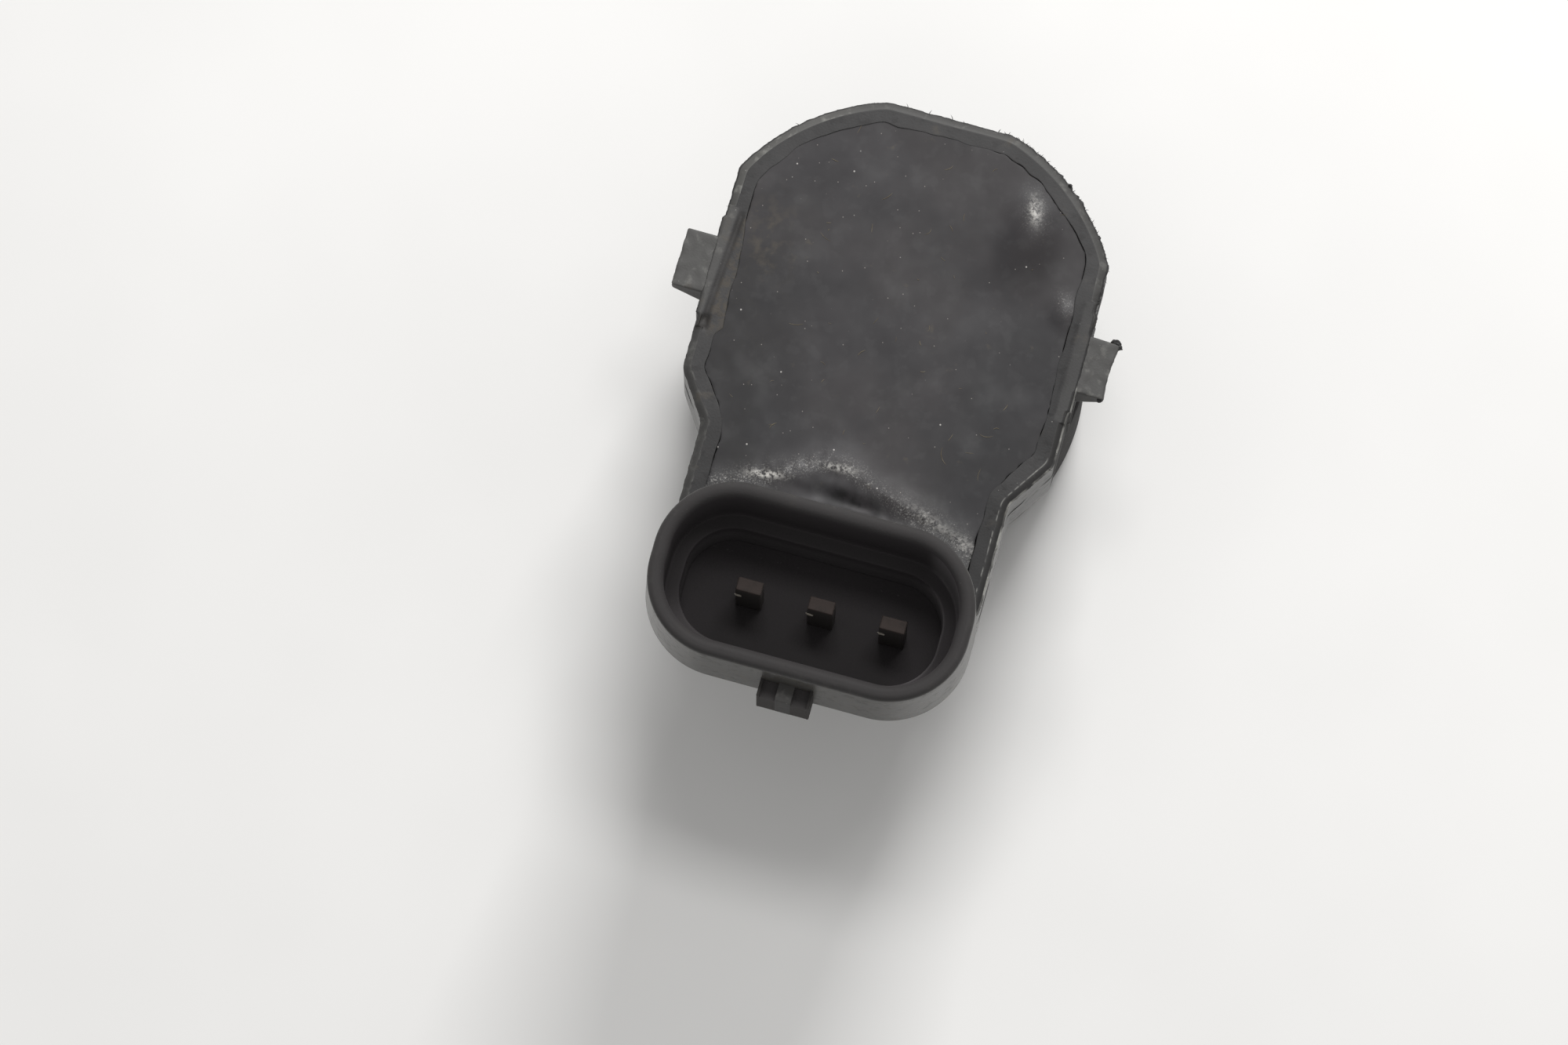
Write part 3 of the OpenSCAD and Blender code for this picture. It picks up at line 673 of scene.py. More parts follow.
def eased(corners, radius, steps=4):
    """Closed profile with each corner replaced by a quadratic curve that starts radius before it."""
    corners = np.asarray(corners, float)
    before, after = np.roll(corners, 1, axis=0) - corners, np.roll(corners, -1, axis=0) - corners
    len_b = np.linalg.norm(before, axis=-1, keepdims=True)
    len_a = np.linalg.norm(after, axis=-1, keepdims=True)
    start = corners + before / len_b * np.minimum(radius, 0.4 * len_b)
    end = corners + after / len_a * np.minimum(radius, 0.4 * len_a)
    t = np.linspace(0.0, 1.0, steps)[None, :, None]
    curve = (1 - t) ** 2 * start[:, None] + 2 * t * (1 - t) * corners[:, None] + t**2 * end[:, None]
    return curve.reshape(-1, 2)


def nose_shell():
    """Nose: a closed ring profile with a lead-in taper, turned about the axis."""
    front = NOSE_R - NOSE_TAPER[1]
    corners = [
        (BORE_R, NOSE_FRONT_Z), (front, NOSE_FRONT_Z), (NOSE_R, NOSE_FRONT_Z + NOSE_TAPER[0]),
        (NOSE_R, 6.0), (NOSE_R, TRAY_UNDER_Z + 0.4), (BORE_R, TRAY_UNDER_Z + 0.4),
    ]
    count = 240
    turn = stretch(0.0, 2.0 * math.pi, count)
    # The side facing the front carries gloss and a painted pale sheen, partly dust.
    pale = smooth((-np.sin(turn) - 0.3) / 0.35)
    dull = 0.85 * (1.0 - pale) * smooth(4.0 * np.cos(turn))
    looks = {"gloss": pale[None], "sheltered": dull[None], "matt": 1.0}
    return turned(eased(corners, 0.18), count, closed=True, **looks)


def ring_shell():
    """Decoupling ring: a section with the snap bead and the lip behind the cup's flange, turned round."""
    corners = [
        (CUP_R, RING_FRONT_Z), (BORE_R, RING_FRONT_Z), (BORE_R, BEAD_Z[0]),
        (BORE_R + BEAD_OUT, BEAD_Z[0]), (BORE_R + BEAD_OUT, BEAD_Z[1]), (BORE_R, BEAD_Z[1]),
        (BORE_R, RING_BACK_Z), (SEAT_HOLE_R, RING_BACK_Z), (SEAT_HOLE_R, CUP_LEN),
        (FLANGE_R, CUP_LEN), (FLANGE_R, CUP_LEN - FLANGE_T), (CUP_R, CUP_LEN - FLANGE_T),
    ]
    return turned(eased(corners, 0.2), 200, closed=True)


def cup_shell():
    """Transducer cup: a flat face with an eased edge, its wall, flange and bore, turned about the axis."""
    edge = 0.3
    turn = np.linspace(-math.pi / 2.0, 0.0, 7)
    face = [(0.0, 0.0), (4.0, 0.0), (7.5, 0.0)]
    rounding = [(CUP_R - edge + edge * math.cos(a), edge + edge * math.sin(a)) for a in turn]
    rest = [
        (CUP_R, 3.0), (CUP_R, CUP_LEN - FLANGE_T), (FLANGE_R, CUP_LEN - FLANGE_T),
        (FLANGE_R, CUP_LEN), (CUP_BORE_R, CUP_LEN), (CUP_BORE_R, MEMBRANE_T), (0.0, MEMBRANE_T),
    ]
    return turned(face + rounding + rest, 160)


def axis_steps(low, high, radius, count):
    """Places along a box's side: close together within radius of its ends, even steps between."""
    ends = radius * np.array([0.0, 0.3, 0.65])
    even = np.linspace(low + radius, high - radius, count + 1)
    return np.concatenate([low + ends, even, high - ends[::-1]])


def rounded_box(low, high, radius, counts, shape=None, **values):
    """Box with rounded edges, as six grids: points of the plain box go to the core and out again by radius.

    The core is the box shrunk by radius; shape, if given, moves the finished points.
    """
    low, high = np.asarray(low, float), np.asarray(high, float)
    shape = shape or (lambda points: points)
    steps = [axis_steps(low[k], high[k], radius, counts[k]) for k in range(3)]
    centre = shape((low + high) / 2.0)
    shells = []
    for axis in range(3):
        first, second = [k for k in range(3) if k != axis]
        a, b = np.meshgrid(steps[first], steps[second], indexing="ij")
        for end in (low[axis], high[axis]):
            plain = np.empty(a.shape + (3,))
            plain[..., first], plain[..., second], plain[..., axis] = a, b, end
            core = np.clip(plain, low + radius, high - radius)
            away = plain - core
            points = core + radius * away / np.linalg.norm(away, axis=-1, keepdims=True)
            shells.append(Shell(shape(points), wrap_cols=False, centre=centre, **values))
    return shells


def clip_tab(side):
    """Clip tab on one side: a rounded box whose underside rises from the root to the tip, a little worn."""
    top = RIM_Z - 0.06

    def ramp(points):
        x = points[..., 0]
        y = points[..., 1]
        z = points[..., 2]
        share = np.clip((x - TRAY_HALF) / (TAB_TIP_X - TRAY_HALF), 0.0, 1.0)
        thick = TAB_ROOT_T + (TAB_TIP_T - TAB_ROOT_T) * share
        z = top - (top - z) * thick / TAB_ROOT_T
        z = z + 0.015 * waves(x, y, 1.1, 61)
        if side > 0:
            bow = -0.16 * share * (1.0 - ((y + 0.4) / TAB_HALF) ** 2) - 0.05 * share
            y = y - 0.12 * share * smooth(y / TAB_HALF)
        else:
            bow = 0.08 * share * (1.0 - 0.4 * (y / TAB_HALF))
        x = x + bow + 0.02 * share * waves(y, z, 0.9, 62 + side)
        return np.stack([side * x, y, z], axis=-1)

    low = (TRAY_HALF - 0.5, -TAB_HALF, top - TAB_ROOT_T)
    high = (TAB_TIP_X - 0.02, TAB_HALF, top)
    return rounded_box(low, high, 0.14, (16, 20, 10), ramp, wear=0.32 if side > 0 else 0.38)


def locking_lug():
    """Locking lug: two hollow prongs with thin skins, coloured with painted light against their shade, and
    a paler rib, as rounded plates.
    """
    x0 = SOCKET_AT[0]
    left, right = x0 - LUG_HALF, x0 + LUG_HALF
    inner_left, inner_right = x0 - LUG_RIB_HALF, x0 + LUG_RIB_HALF
    hollow = LUG_TOP_Z - LUG_HOLLOW
    dark = [
        ((left, LUG_FRONT_Y, RIM_Z), (left + LUG_SKIN, LUG_BACK_Y - 0.02, LUG_TOP_Z)),
        ((right - LUG_SKIN, LUG_FRONT_Y, RIM_Z), (right, LUG_BACK_Y - 0.02, LUG_TOP_Z)),
        ((left + 0.02, LUG_FRONT_Y + 0.01, RIM_Z + 0.01), (inner_left + 0.1, LUG_BACK_Y, hollow)),
        ((inner_right - 0.1, LUG_FRONT_Y + 0.01, RIM_Z + 0.01), (right - 0.02, LUG_BACK_Y, hollow)),
    ]
    rib = ((inner_left, LUG_FRONT_Y, RIM_Z), (inner_right, LUG_BACK_Y - 0.04, LUG_TOP_Z))
    shells = rounded_box(*rib, 0.08, (8, 6, 8), sheltered=0.25)
    for shell in shells:
        shell.values["wear"] = 0.5 * smooth((shell.points[..., 2] - LUG_TOP_Z + 0.1) / 0.08)
    for low, high in dark:
        for shell in rounded_box(low, high, 0.08, (8, 6, 12), sheltered=1.0, deep=1.0):
            in_hollow = smooth((shell.points[..., 2] - hollow + 0.12) / 0.08) * (high[2] < LUG_TOP_Z)
            # Painted light: the prongs take their own tone against their shade, a little paler on the
            # hollow floors.
            shell.values["sooty"] = 1.0 - 0.3 * in_hollow
            shells.append(shell)
    return shells


def terminal(x):
    """Terminal: a blade with an eased tip and a pale bead painted as a glint, its leg through the wall and
    its tail.
    """
    half_w, half_t = PIN_HALF
    leg = ((x - half_w, PIN_Y - half_t, LEG_Z[0]), (x + half_w, TAIL_Y + half_t, LEG_Z[1]))
    tail_low = (x - TAIL_HALF, TAIL_Y - half_t, TAIL_END_Z)
    tail_high = (x + TAIL_HALF, TAIL_Y + half_t - 0.01, LEG_Z[1] - 0.01)
    wide, thick = half_w + PIN_PLATING, half_t + PIN_PLATING
    blade_low = (x - wide, PIN_Y - thick, LEG_Z[0])
    blade_high = (x + wide, PIN_Y + thick, PIN_TIP_Z)
    shells = rounded_box(blade_low, blade_high, 0.1, (8, 6, 10))
    for shell in shells:
        shell.values["tip"] = smooth((shell.points[..., 2] - PIN_TIP_Z + 0.09) / 0.06)
    # Painted glint: a small pale bead below the tip.
    glint_bead = crumb((x - wide + 0.2, PIN_Y - thick - 0.02, PIN_TIP_Z - 1.5), (0.22, 0.07, 0.1), 95)
    glint_bead.values["bright"] = 1.0
    shells.append(glint_bead)
    for low, high in (leg, (tail_low, tail_high)):
        shells += rounded_box(low, high, 0.08, (8, 6, 10))
    return shells


def strands(paths, radius, sides=6):
    """Thin tubes along many paths at once: rings about each path, shrunk to a point at both ends."""
    tangent = np.gradient(paths, axis=1)
    tangent = tangent / np.linalg.norm(tangent, axis=-1, keepdims=True)
    helper = np.where(np.abs(tangent[..., 2:]) < 0.8, (0.0, 0.0, 1.0), (1.0, 0.0, 0.0))
    side = np.cross(tangent, helper)
    side = side / np.linalg.norm(side, axis=-1, keepdims=True)
    lift = np.cross(side, tangent)
    turn = stretch(0.0, 2.0 * math.pi, sides)
    ring = side[:, :, None] * np.cos(turn)[:, None] + lift[:, :, None] * np.sin(turn)[:, None]
    points = paths[:, :, None] + radius[:, :, None, None] * ring
    return [Shell(one) for one in points]


def lint_on_resin():
    """Short fibres and grit lying on the resin: gentle arcs of seeded place, heading, bend and length."""
    rng = np.random.default_rng(71)
    count, knots = 46, 11
    x0 = rng.uniform(-9.5, 9.5, count)
    y0 = rng.uniform(-9.5, 11.0, count)
    length = rng.uniform(0.15, 0.8, count) * (1.0 + (rng.random(count) > 0.85))
    heading = rng.uniform(0.0, 2.0 * math.pi, count)
    bend = rng.uniform(-1.6, 1.6, count)
    x0[:3], y0[:3] = (-6.3, 0.25, -5.7), (4.05, 5.6, 10.9)
    length[:3], heading[:3], bend[:3] = (1.1, 0.8, 0.9), (-0.5, 0.9, 1.4), (0.8, 1.8, 0.5)
    t = np.linspace(-0.5, 0.5, knots)
    angle = heading[:, None] + bend[:, None] * t
    step = length[:, None] / knots
    x = x0[:, None] + np.cumsum(np.cos(angle) * step, axis=1)
    y = y0[:, None] + np.cumsum(np.sin(angle) * step, axis=1)
    thick = rng.uniform(0.012, 0.028, count)[:, None] * np.sin(np.linspace(0.0, math.pi, knots)) ** 0.5
    z = resin_top(x, y) + 0.6 * thick
    return strands(np.stack([x, y, z], axis=-1), thick)


def frayed_edge():
    """Hairs of flash on the rim's right upper edge: short spikes that lean outwards from the outline."""
    rings = TrayRings(NECK_END_Y)
    rng = np.random.default_rng(81)
    x, y = rings.outer.T
    likely = smooth((x - 2.0) / 5.0) * smooth((y + 1.5) / 4.0) + 0.04
    pick = rng.choice(len(x), 170, replace=False, p=likely / likely.sum())
    knots = 6
    t = np.linspace(0.0, 1.0, knots)
    length = 0.07 + 0.22 * rng.random(len(pick)) ** 2.5
    lean = rng.uniform(-0.9, 0.9, len(pick))
    out = rings.out[pick]
    along = np.stack([-out[:, 1], out[:, 0]], axis=-1)
    reach = length[:, None] * t
    place = rings.outer[pick][:, None] - 0.09 * out[:, None] + out[:, None] * reach[..., None]
    place = place + along[:, None] * (lean[:, None] * reach * t)[..., None]
    z = RIM_Z - 0.12 + rng.uniform(-0.1, 0.25, len(pick))[:, None] * t * length[:, None] * 3.0
    thick = rng.uniform(0.018, 0.04, len(pick))[:, None] * (1.0 - t) ** 0.7
    thick[:, (0, -1)] = 0.0
    return strands(np.concatenate([place, z[..., None]], axis=-1), thick)


def crumb(at, size, seed):
    """Torn bit of plastic: a ball stretched to size, its radius roughened by waves over its surface."""
    u = np.linspace(0.0, math.pi, 15)[:, None]
    v = stretch(0.0, 2.0 * math.pi, 22)[None, :]
    x, y, z = np.sin(u) * np.cos(v), np.sin(u) * np.sin(v), np.cos(u) + 0.0 * v
    rough = 1.0 + 0.22 * waves(x + z, y - 0.7 * z, 1.3, seed)
    return Shell(np.stack([x, y, z], axis=-1) * rough[..., None] * size + at)


class Wire:
    """A shader socket: +, - and * add Math nodes, and node() adds a node of any other kind."""

    def __init__(self, tree, socket=None):
        self.tree = tree
        self.socket = socket

    def node(self, kind, settings=None, sockets=None, out=0):
        """New node of a kind: settings first, then values or links of its sockets; gives one output."""
        made = self.tree.nodes.new(kind)
        for key, value in (settings or {}).items():
            setattr(made, key, value)
        for key, value in (sockets or {}).items():
            if isinstance(value, Wire):
                self.tree.links.new(value.socket, made.inputs[key])
            else:
                made.inputs[key].default_value = value
        return Wire(self.tree, made.outputs[out]) if made.outputs else None

    def math(self, operation, first, second):
        return self.node("ShaderNodeMath", {"operation": operation}, {0: first, 1: second})

    def __add__(self, other):
        return self.math("ADD", self, other)

    def __sub__(self, other):
        return self.math("SUBTRACT", self, other)

    def __rsub__(self, other):
        return self.math("SUBTRACT", other, self)

    def __mul__(self, other):
        return self.math("MULTIPLY", self, other)

    __radd__ = __add__
    __rmul__ = __mul__


class Finish:
    """A material in the making, with patterns on Object coordinates."""

    def __init__(self, name):
        self.material = bpy.data.materials.new(name)
        self.material.use_nodes = True
        self.material.node_tree.nodes.clear()
        self.start = Wire(self.material.node_tree)
        self.place = self.start.node("ShaderNodeTexCoord", out="Object")

    def noise(self, size, detail, roughness=0.55):
        """Cloudy pattern from 0 to 1 whose patches are about size millimetres across."""
        sockets = {"Vector": self.place, "Scale": 1.0 / (size * MM)}
        sockets.update({"Detail": detail, "Roughness": roughness})
        return self.start.node("ShaderNodeTexNoise", None, sockets)

    def patches(self, size, detail, low, high, roughness=0.55):
        """Soft-edged patches of such a pattern: 0 where it is at low, 1 where it is at high."""
        return self.between(self.noise(size, detail, roughness), low, high)

    def specks(self, spacing, size, share):
        """Round dots, 1 inside: points about spacing millimetres apart, of which a share is kept."""
        sockets = {"Vector": self.place, "Scale": 1.0 / (spacing * MM), "Randomness": 1.0}
        near = self.start.node("ShaderNodeTexVoronoi", {"feature": "F1"}, sockets, "Distance")
        lot = self.start.node("ShaderNodeTexVoronoi", {"feature": "F1"}, sockets, "Color")
        kept = self.start.node("ShaderNodeSeparateColor", None, {"Color": lot}, "Red")
        dot = self.between(near, size / spacing, 0.5 * size / spacing)
        return dot * self.between(kept, share + 0.01, share)

    def between(self, value, low, high):
        """Smooth step of a value from 0 at low to 1 at high."""
        sockets = {"Value": value, "From Min": low, "From Max": high}
        return self.start.node("ShaderNodeMapRange", {"interpolation_type": "SMOOTHSTEP"}, sockets)

    def mix(self, share, first, second):
        """Colour between two colours."""
        settings = {"data_type": "RGBA", "blend_type": "MIX"}
        return self.start.node("ShaderNodeMix", settings, {0: share, 6: first, 7: second}, 2)

    def layered(self, base, *layers):
        """Colour with layers over it, each a share and a colour."""
        for share, colour in layers:
            base = self.mix(share, base, colour)
        return base

    def kept(self, name):
        """Value that the mesh keeps at its points."""
        return self.start.node("ShaderNodeAttribute", {"attribute_name": name}, None, "Fac")

    def bump(self, height, depth, strength):
        """Normal bent by a height from 0 to 1 that stands for depth millimetres."""
        sockets = {"Height": height, "Distance": depth * MM, "Strength": strength}
        return self.start.node("ShaderNodeBump", None, sockets, "Normal")

    def surface(self, sockets):
        """Principled surface with these sockets."""
        return self.start.node("ShaderNodeBsdfPrincipled", None, sockets)

    def close(self, shader):
        """Joins a surface to the output and gives the material."""
        self.start.node("ShaderNodeOutputMaterial", None, {"Surface": shader})
        return self.material


def rgb(red, green, blue):
    """Colour given as a picture editor counts it, 0 to 255."""
    return (*[((c / 255.0 + 0.055) / 1.055) ** 2.4 for c in (red, green, blue)], 1.0)


def grey(level, warmth=0.0):
    """Even grey, with a little red for warmth."""
    return rgb(level + warmth, level, level - warmth)


def housing_plastic():
    """Dark moulded plastic: grained, cloudy, dust and brown dirt, glossier on walls with a painted pale
    sheen there (partly dust), edges rubbed pale and partly painted with highlights.

    Where it is sheltered, inside the socket, it has hardly any gloss and is painted paler with depth,
    against its shade.
    """
    f = Finish("housing_plastic")
    cloud = f.noise(3.2, 4.0)
    grain = f.noise(0.16, 2.0)
    scuff = f.patches(0.7, 4.0, 0.52, 0.72)
    mottle = f.patches(0.5, 5.0, 0.45, 0.7, 0.65)
    gloss, deep = f.kept("gloss"), f.kept("deep")
    base = f.layered(
        rgb(46, 45, 45),
        (f.between(cloud, 0.35, 0.68), rgb(57, 56, 56)),
        (f.kept("soil"), rgb(16, 15, 15)),
        # Painted sheen, partly dust: walls with gloss are coloured paler in mottled patches.
        (gloss * (0.1 + 0.14 * mottle), rgb(120, 121, 116)),
        # Wear, with painted highlights on the rim's crest, foot and bevel.
        (f.kept("wear") * (0.35 + 0.65 * scuff), rgb(146, 145, 140)),
        (f.specks(0.55, 0.05, 0.3) * 0.5, grey(150, 3)),
        (f.patches(1.6, 5.0, 0.6, 0.75) * 0.35, rgb(84, 77, 66)),
        (f.kept("crust") * f.patches(0.45, 5.0, 0.4, 0.62, 0.65) * 0.6, rgb(72, 65, 55)),
        (f.kept("dirt") * 0.85, rgb(33, 29, 25)),
    )
    rough = 0.5 + 0.14 * cloud + 0.1 * scuff - 0.3 * gloss
    normal = f.bump(grain + 0.5 * scuff, 0.02, 0.6)
    # Painted light: the sheltered colour grows paler with depth inside the socket, against its shade.
    shade = f.layered(
        rgb(56, 54, 54),
        (f.between(deep, 0.0, 0.5), rgb(66, 63, 64)),
        (f.between(deep, 0.5, 1.0), rgb(98, 95, 96)),
        # Painted light: the lug's prongs take their own tone, set against their shade.
        (f.kept("sooty"), rgb(64, 62, 61)),
        (f.kept("matt"), base),
    )
    skin = f.surface({"Base Color": base, "Roughness": rough, "Normal": normal, "Specular IOR Level": 0.32})
    dull = f.surface({"Base Color": shade, "Roughness": 0.8, "Normal": normal, "Specular IOR Level": 0.1})
    return f.close(f.start.node("ShaderNodeMixShader", None, {0: f.kept("sheltered"), 1: skin, 2: dull}))


def potting_resin():
    """Dark resin: satin skin, cloudy patches and dust; glossier ridges with painted glints and highlights.
    """
    f = Finish("potting_resin")
    small = f.noise(0.9, 4.0)
    polish = f.kept("polish")
    grains = f.patches(0.085, 3.0, 0.5, 0.6, 0.65)
    faded = f.kept("faded") + 0.7 * (f.noise(5.0, 4.0) - 0.5)
    stain = f.kept("stain") * f.patches(0.8, 5.0, 0.45, 0.7)
    smudge = f.kept("smudge") * f.patches(0.9, 4.0, 0.42, 0.62, 0.6)
    shine = f.kept("shine") * f.patches(0.22, 3.0, 0.38, 0.6)
    base = f.layered(
        rgb(19, 17, 18),
        (f.between(faded, 0.0, 1.0), rgb(47, 44, 45)),
        (f.patches(9.0, 2.0, 0.42, 0.6) * 0.3, rgb(38, 37, 41)),
        (f.patches(2.6, 2.5, 0.46, 0.84, 0.5) * 0.27, grey(84)),
        (f.patches(4.2, 2.5, 0.42, 0.7, 0.5) * 0.45, rgb(22, 20, 23)),
        (f.patches(1.0, 3.0, 0.52, 0.68, 0.5) * 0.07, grey(92)),
        (f.patches(1.1, 5.0, 0.66, 0.78) * 0.3 + stain * 0.4, rgb(84, 76, 62)),
        # Painted shade: dark patches in the recess by the socket.
        (smudge * 0.8, grey(14)),
        (f.specks(0.9, 0.075, 0.3) * 0.85, grey(175, 4)),
        (f.specks(0.47, 0.045, 0.3) * 0.6, grey(150, 6)),
        # Painted glints: pale grains and patches with dark pits where the resin is polished.
        (polish * grains * 0.14, rgb(150, 146, 138)),
        (polish * f.patches(0.13, 4.0, 0.54, 0.62, 0.7) * 0.4, rgb(186, 184, 180)),
        # Painted highlights: nearly white streaks.
        (shine * 0.75, rgb(208, 205, 199)),
        (polish * f.patches(0.16, 4.0, 0.42, 0.36, 0.7) * 0.75, grey(20)),
    )
    rough = 0.47 + 0.12 * small - 0.14 * polish - 0.1 * polish * grains
    normal = f.bump(grains * polish + 0.1 * small, 0.008, 0.5)
    sockets = {"Base Color": base, "Roughness": rough, "Normal": normal, "Specular IOR Level": 0.32}
    return f.close(f.surface(sockets))


def terminal_metal():
    """Dulled terminal metal: brown stained tips, flanks painted a paler grey against their shade, and a
    painted glint.
    """
    f = Finish("terminal_metal")
    tip, bright = f.kept("tip"), f.kept("bright")
    base = f.layered(
        rgb(55, 47, 44),
        (f.patches(0.6, 4.0, 0.45, 0.7) * 0.6, rgb(44, 39, 36)),
        # Painted light: the flanks are a paler grey than the tips, against their shade.
        (1.0 - tip, rgb(78, 74, 72)),
        # Painted glint: the bead is coloured pale and smoother.
        (bright, rgb(190, 184, 172)),
    )
    normal = f.bump(f.noise(0.06, 2.0), 0.006, 0.5)
    rough = 0.7 - 0.35 * bright
    sockets = {"Base Color": base, "Metallic": 0.6 * tip, "Roughness": rough, "Normal": normal}
    return f.close(f.surface(sockets))


def worn_metal(name, pale, dark, roughness):
    """Bare metal: brushed cloudiness, dull stains and a fine grain."""
    f = Finish(name)
    stain = f.patches(0.6, 4.0, 0.45, 0.7)
    base = f.mix(stain * 0.7, pale, dark)
    normal = f.bump(f.noise(0.06, 2.0), 0.006, 0.5)
    rough = roughness + 0.2 * stain
    return f.close(f.surface({"Base Color": base, "Metallic": 1.0, "Roughness": rough, "Normal": normal}))


def plain_stuff(name, pale, dark, roughness, patch, metallic=0.0):
    """Even material with soft patches of two close colours and a fine skin."""
    f = Finish(name)
    patches = f.patches(patch, 4.0, 0.35, 0.65)
    sockets = {
        "Base Color": f.mix(patches, pale, dark),
        "Roughness": roughness + 0.12 * patches,
        "Metallic": metallic,
        "Normal": f.bump(f.noise(patch * 0.12, 2.0), 0.01, 0.5),
    }
    return f.close(f.surface(sockets))


def pale_table():
    """Pale table top: nearly white, a little uneven, with a soft gloss."""
    f = Finish("pale_table")
    cloud = f.noise(40.0, 3.0)
    base = f.mix(f.between(cloud, 0.3, 0.7), rgb(229, 228, 226), rgb(234, 233, 231))
    sockets = {"Base Color": base, "Roughness": 0.38 + 0.06 * cloud, "Specular IOR Level": 0.25}
    return f.close(f.surface(sockets))


def flat_floor(material):
    """Level floor just under the part: a square grid."""
    side = np.linspace(-FLOOR_HALF, FLOOR_HALF, FLOOR_POINTS)
    a, b = np.meshgrid(side, side, indexing="ij")
    points = np.stack([a, b, 0.0 * a - FLOOR_DROP], axis=-1).reshape(-1, 3)
    mesh = bpy.data.meshes.new("floor")
    mesh.from_pydata(points * MM, [], grid_faces(FLOOR_POINTS, FLOOR_POINTS, False, False)[:, ::-1])
    mesh.materials.append(material)
    placed("floor", mesh)


def standing(right, up, back, place):
    """Matrix of something at place, in millimetres, with these directions as its X, Y and Z."""
    matrix = np.eye(4)
    matrix[:3] = np.stack([right, up, back, np.asarray(place) * MM], axis=-1)
    return Matrix(matrix.tolist())


def lamp(name, place, target, size, watts):
    """Rectangular soft lamp of a size in millimetres at place, turned to target with its X level."""
    data = bpy.data.lights.new(name, "AREA")
    data.shape = "RECTANGLE"
    data.size, data.size_y = size[0] * MM, size[1] * MM
    data.energy = watts
    back = np.subtract(place, target)
    back = back / np.linalg.norm(back)
    right = np.cross((0.0, 0.0, 1.0), back)
    right = right / np.linalg.norm(right)
    placed(name, data).matrix_world = standing(right, np.cross(back, right), back, place)


def photo_camera():
    """Camera of the photograph: axes turned by azimuth, elevation and roll, lens from the focal length."""
    az, el, roll = (math.radians(a) for a in (VIEW_AZIMUTH, VIEW_ELEVATION, VIEW_ROLL))
    back = np.array([math.sin(az) * math.cos(el), -math.cos(az) * math.cos(el), math.sin(el)])
    level = np.array([math.cos(az), math.sin(az), 0.0])
    steep = np.cross(back, level)
    right = level * math.cos(roll) + steep * math.sin(roll)
    up = steep * math.cos(roll) - level * math.sin(roll)
    data = bpy.data.cameras.new("camera")
    data.sensor_fit = "HORIZONTAL"
    data.sensor_width = SENSOR_WIDTH
    data.lens = FOCAL_PIXELS / PICTURE_WIDTH * SENSOR_WIDTH
    data.clip_start = CLIP_START * MM
    made = placed("camera", data)
    made.matrix_world = standing(right, up, back, np.array(VIEW_TARGET) + VIEW_DISTANCE * back)
    bpy.context.scene.camera = made


def studio():
    """Pale floor, soft lamp overhead, window behind, and surroundings that fade towards the front.

    The surroundings light the part at a low level, mirror more strongly and show as white to the camera.
    """
    flat_floor(pale_table())
    lamp("overhead_lamp", *OVERHEAD_LAMP)
    lamp("back_window", *BACK_WINDOW)
    world = bpy.data.worlds.new("surroundings")
    world.use_nodes = True
    world.node_tree.nodes.clear()
    start = Wire(world.node_tree)
    rays = ("Is Camera Ray", "Is Glossy Ray", "Is Transmission Ray")
    seen, mirrored, through = (start.node("ShaderNodeLightPath", out=ray) for ray in rays)
    heading = start.node("ShaderNodeTexCoord", out="Generated")
    behind = start.node("ShaderNodeSeparateXYZ", None, {"Vector": heading}, "Y")
    fade = start.node("ShaderNodeMapRange", None, {0: behind, 1: -0.6, 2: 0.6, 3: SKY_FRONT, 4: 1.0})
    soft = SKY_LIGHT + (SKY_MIRRORED * fade - SKY_LIGHT) * start.math("MAXIMUM", mirrored, through)
    sockets = {"Color": (1.0, 1.0, 1.0, 1.0), "Strength": soft + (SKY_SEEN - soft) * seen}
    shade = start.node("ShaderNodeBackground", None, sockets)
    start.node("ShaderNodeOutputWorld", None, {"Surface": shade})
    bpy.context.scene.world = world


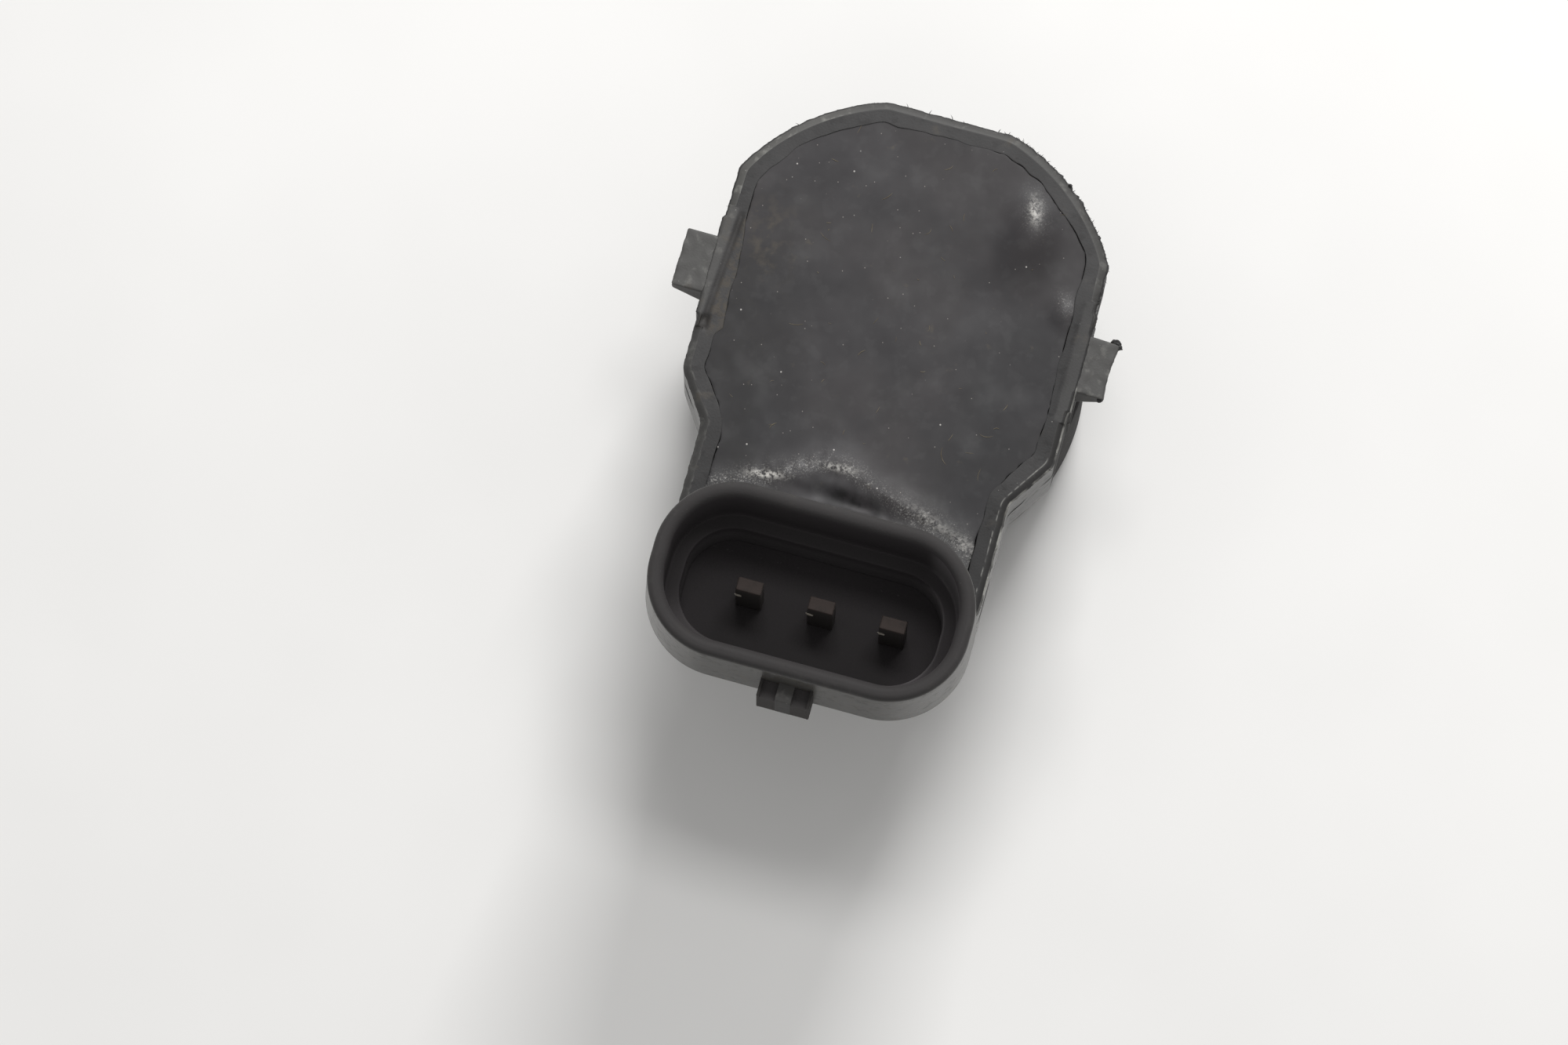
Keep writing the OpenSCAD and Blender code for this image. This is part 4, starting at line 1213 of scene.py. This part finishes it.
def dress_part():
    """Builds the pieces that stand for the CAD nodes, and the hairs, bits and fibres on them."""
    plastic = housing_plastic()
    resin = potting_resin()
    blades = terminal_metal()
    cup = plain_stuff("cup_face", grey(196), grey(184), 0.42, 2.2, 1.0)
    silicone = plain_stuff("silicone", grey(44), grey(52), 0.62, 1.8)
    lint = plain_stuff("lint", rgb(108, 100, 86), rgb(86, 77, 63), 0.8, 0.8)
    block_low = (-BLOCK_HALF, BLOCK_END_Y, TRAY_UNDER_Z)
    block_high = (BLOCK_HALF, NECK_END_Y + 1.0, POCKET_Z - 0.1)
    mouldings = {
        "tray_moulding": [tray_shell()],
        "socket_moulding": [socket_shell()],
        "nose_moulding": [nose_shell()],
        "left_clip_tab": clip_tab(-1),
        "right_clip_tab": clip_tab(1),
        "locking_lug": locking_lug(),
        "terminal_block": rounded_box(block_low, block_high, 0.2, (20, 8, 8)),
    }
    for name, shells in mouldings.items():
        make_piece(name, shells, plastic, ("housing",))
    make_piece("potting_surface", [resin_shell()], resin, ("potting_compound",))
    for name, x in PIN_X.items():
        make_piece(name + "_blade", terminal(x), blades, (name,))
    make_piece("decoupling_sleeve", [ring_shell()], silicone, ("decoupling_ring",))
    make_piece("front_cup", [cup_shell()], cup, ("transducer_cup",))
    make_piece("frayed_edge", frayed_edge(), plastic)
    make_piece("torn_bits", [crumb(*bit) for bit in TORN_BITS], plastic)
    make_piece("lint", lint_on_resin(), lint)


def inner_materials():
    """Materials of the pieces sealed inside."""
    kinds = {
        "piezo_disc": ("piezo_ceramic", rgb(201, 185, 142), rgb(190, 172, 128), 0.55, 1.2),
        "absorber_pad": ("absorber_felt", rgb(228, 226, 218), rgb(212, 208, 198), 0.9, 0.6),
        "cup_seal": ("seal_silicone", rgb(143, 148, 152), rgb(132, 137, 141), 0.5, 1.5),
        "circuit_board": ("board", rgb(40, 86, 52), rgb(30, 70, 42), 0.45, 2.4),
        "control_chip": ("chip_plastic", grey(36), grey(44), 0.55, 1.0),
        "transformer_core": ("ferrite", grey(70, 2), grey(58, 2), 0.6, 1.2),
        "transformer_winding": ("winding", rgb(156, 90, 44), rgb(130, 70, 32), 0.35, 0.3, 0.6),
        "storage_capacitor": ("can", grey(188), grey(172), 0.32, 1.0, 1.0),
        "chip_capacitors": ("chip_ceramic", rgb(169, 138, 99), rgb(150, 120, 84), 0.5, 0.5),
    }
    finishes = {name: plain_stuff(*kind) for name, kind in kinds.items()}
    copper = worn_metal("copper_wire", rgb(196, 122, 74), rgb(140, 80, 46), 0.3)
    finishes["signal_lead"] = finishes["ground_lead"] = copper
    finishes["chip_resistors"] = finishes["protection_diode"] = finishes["control_chip"]
    for name, material in finishes.items():
        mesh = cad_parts[name].data
        mesh.materials.clear()
        mesh.materials.append(material)


bpy.context.scene.view_settings.view_transform = "Standard"
photo_camera()
studio()
dress_part()
inner_materials()
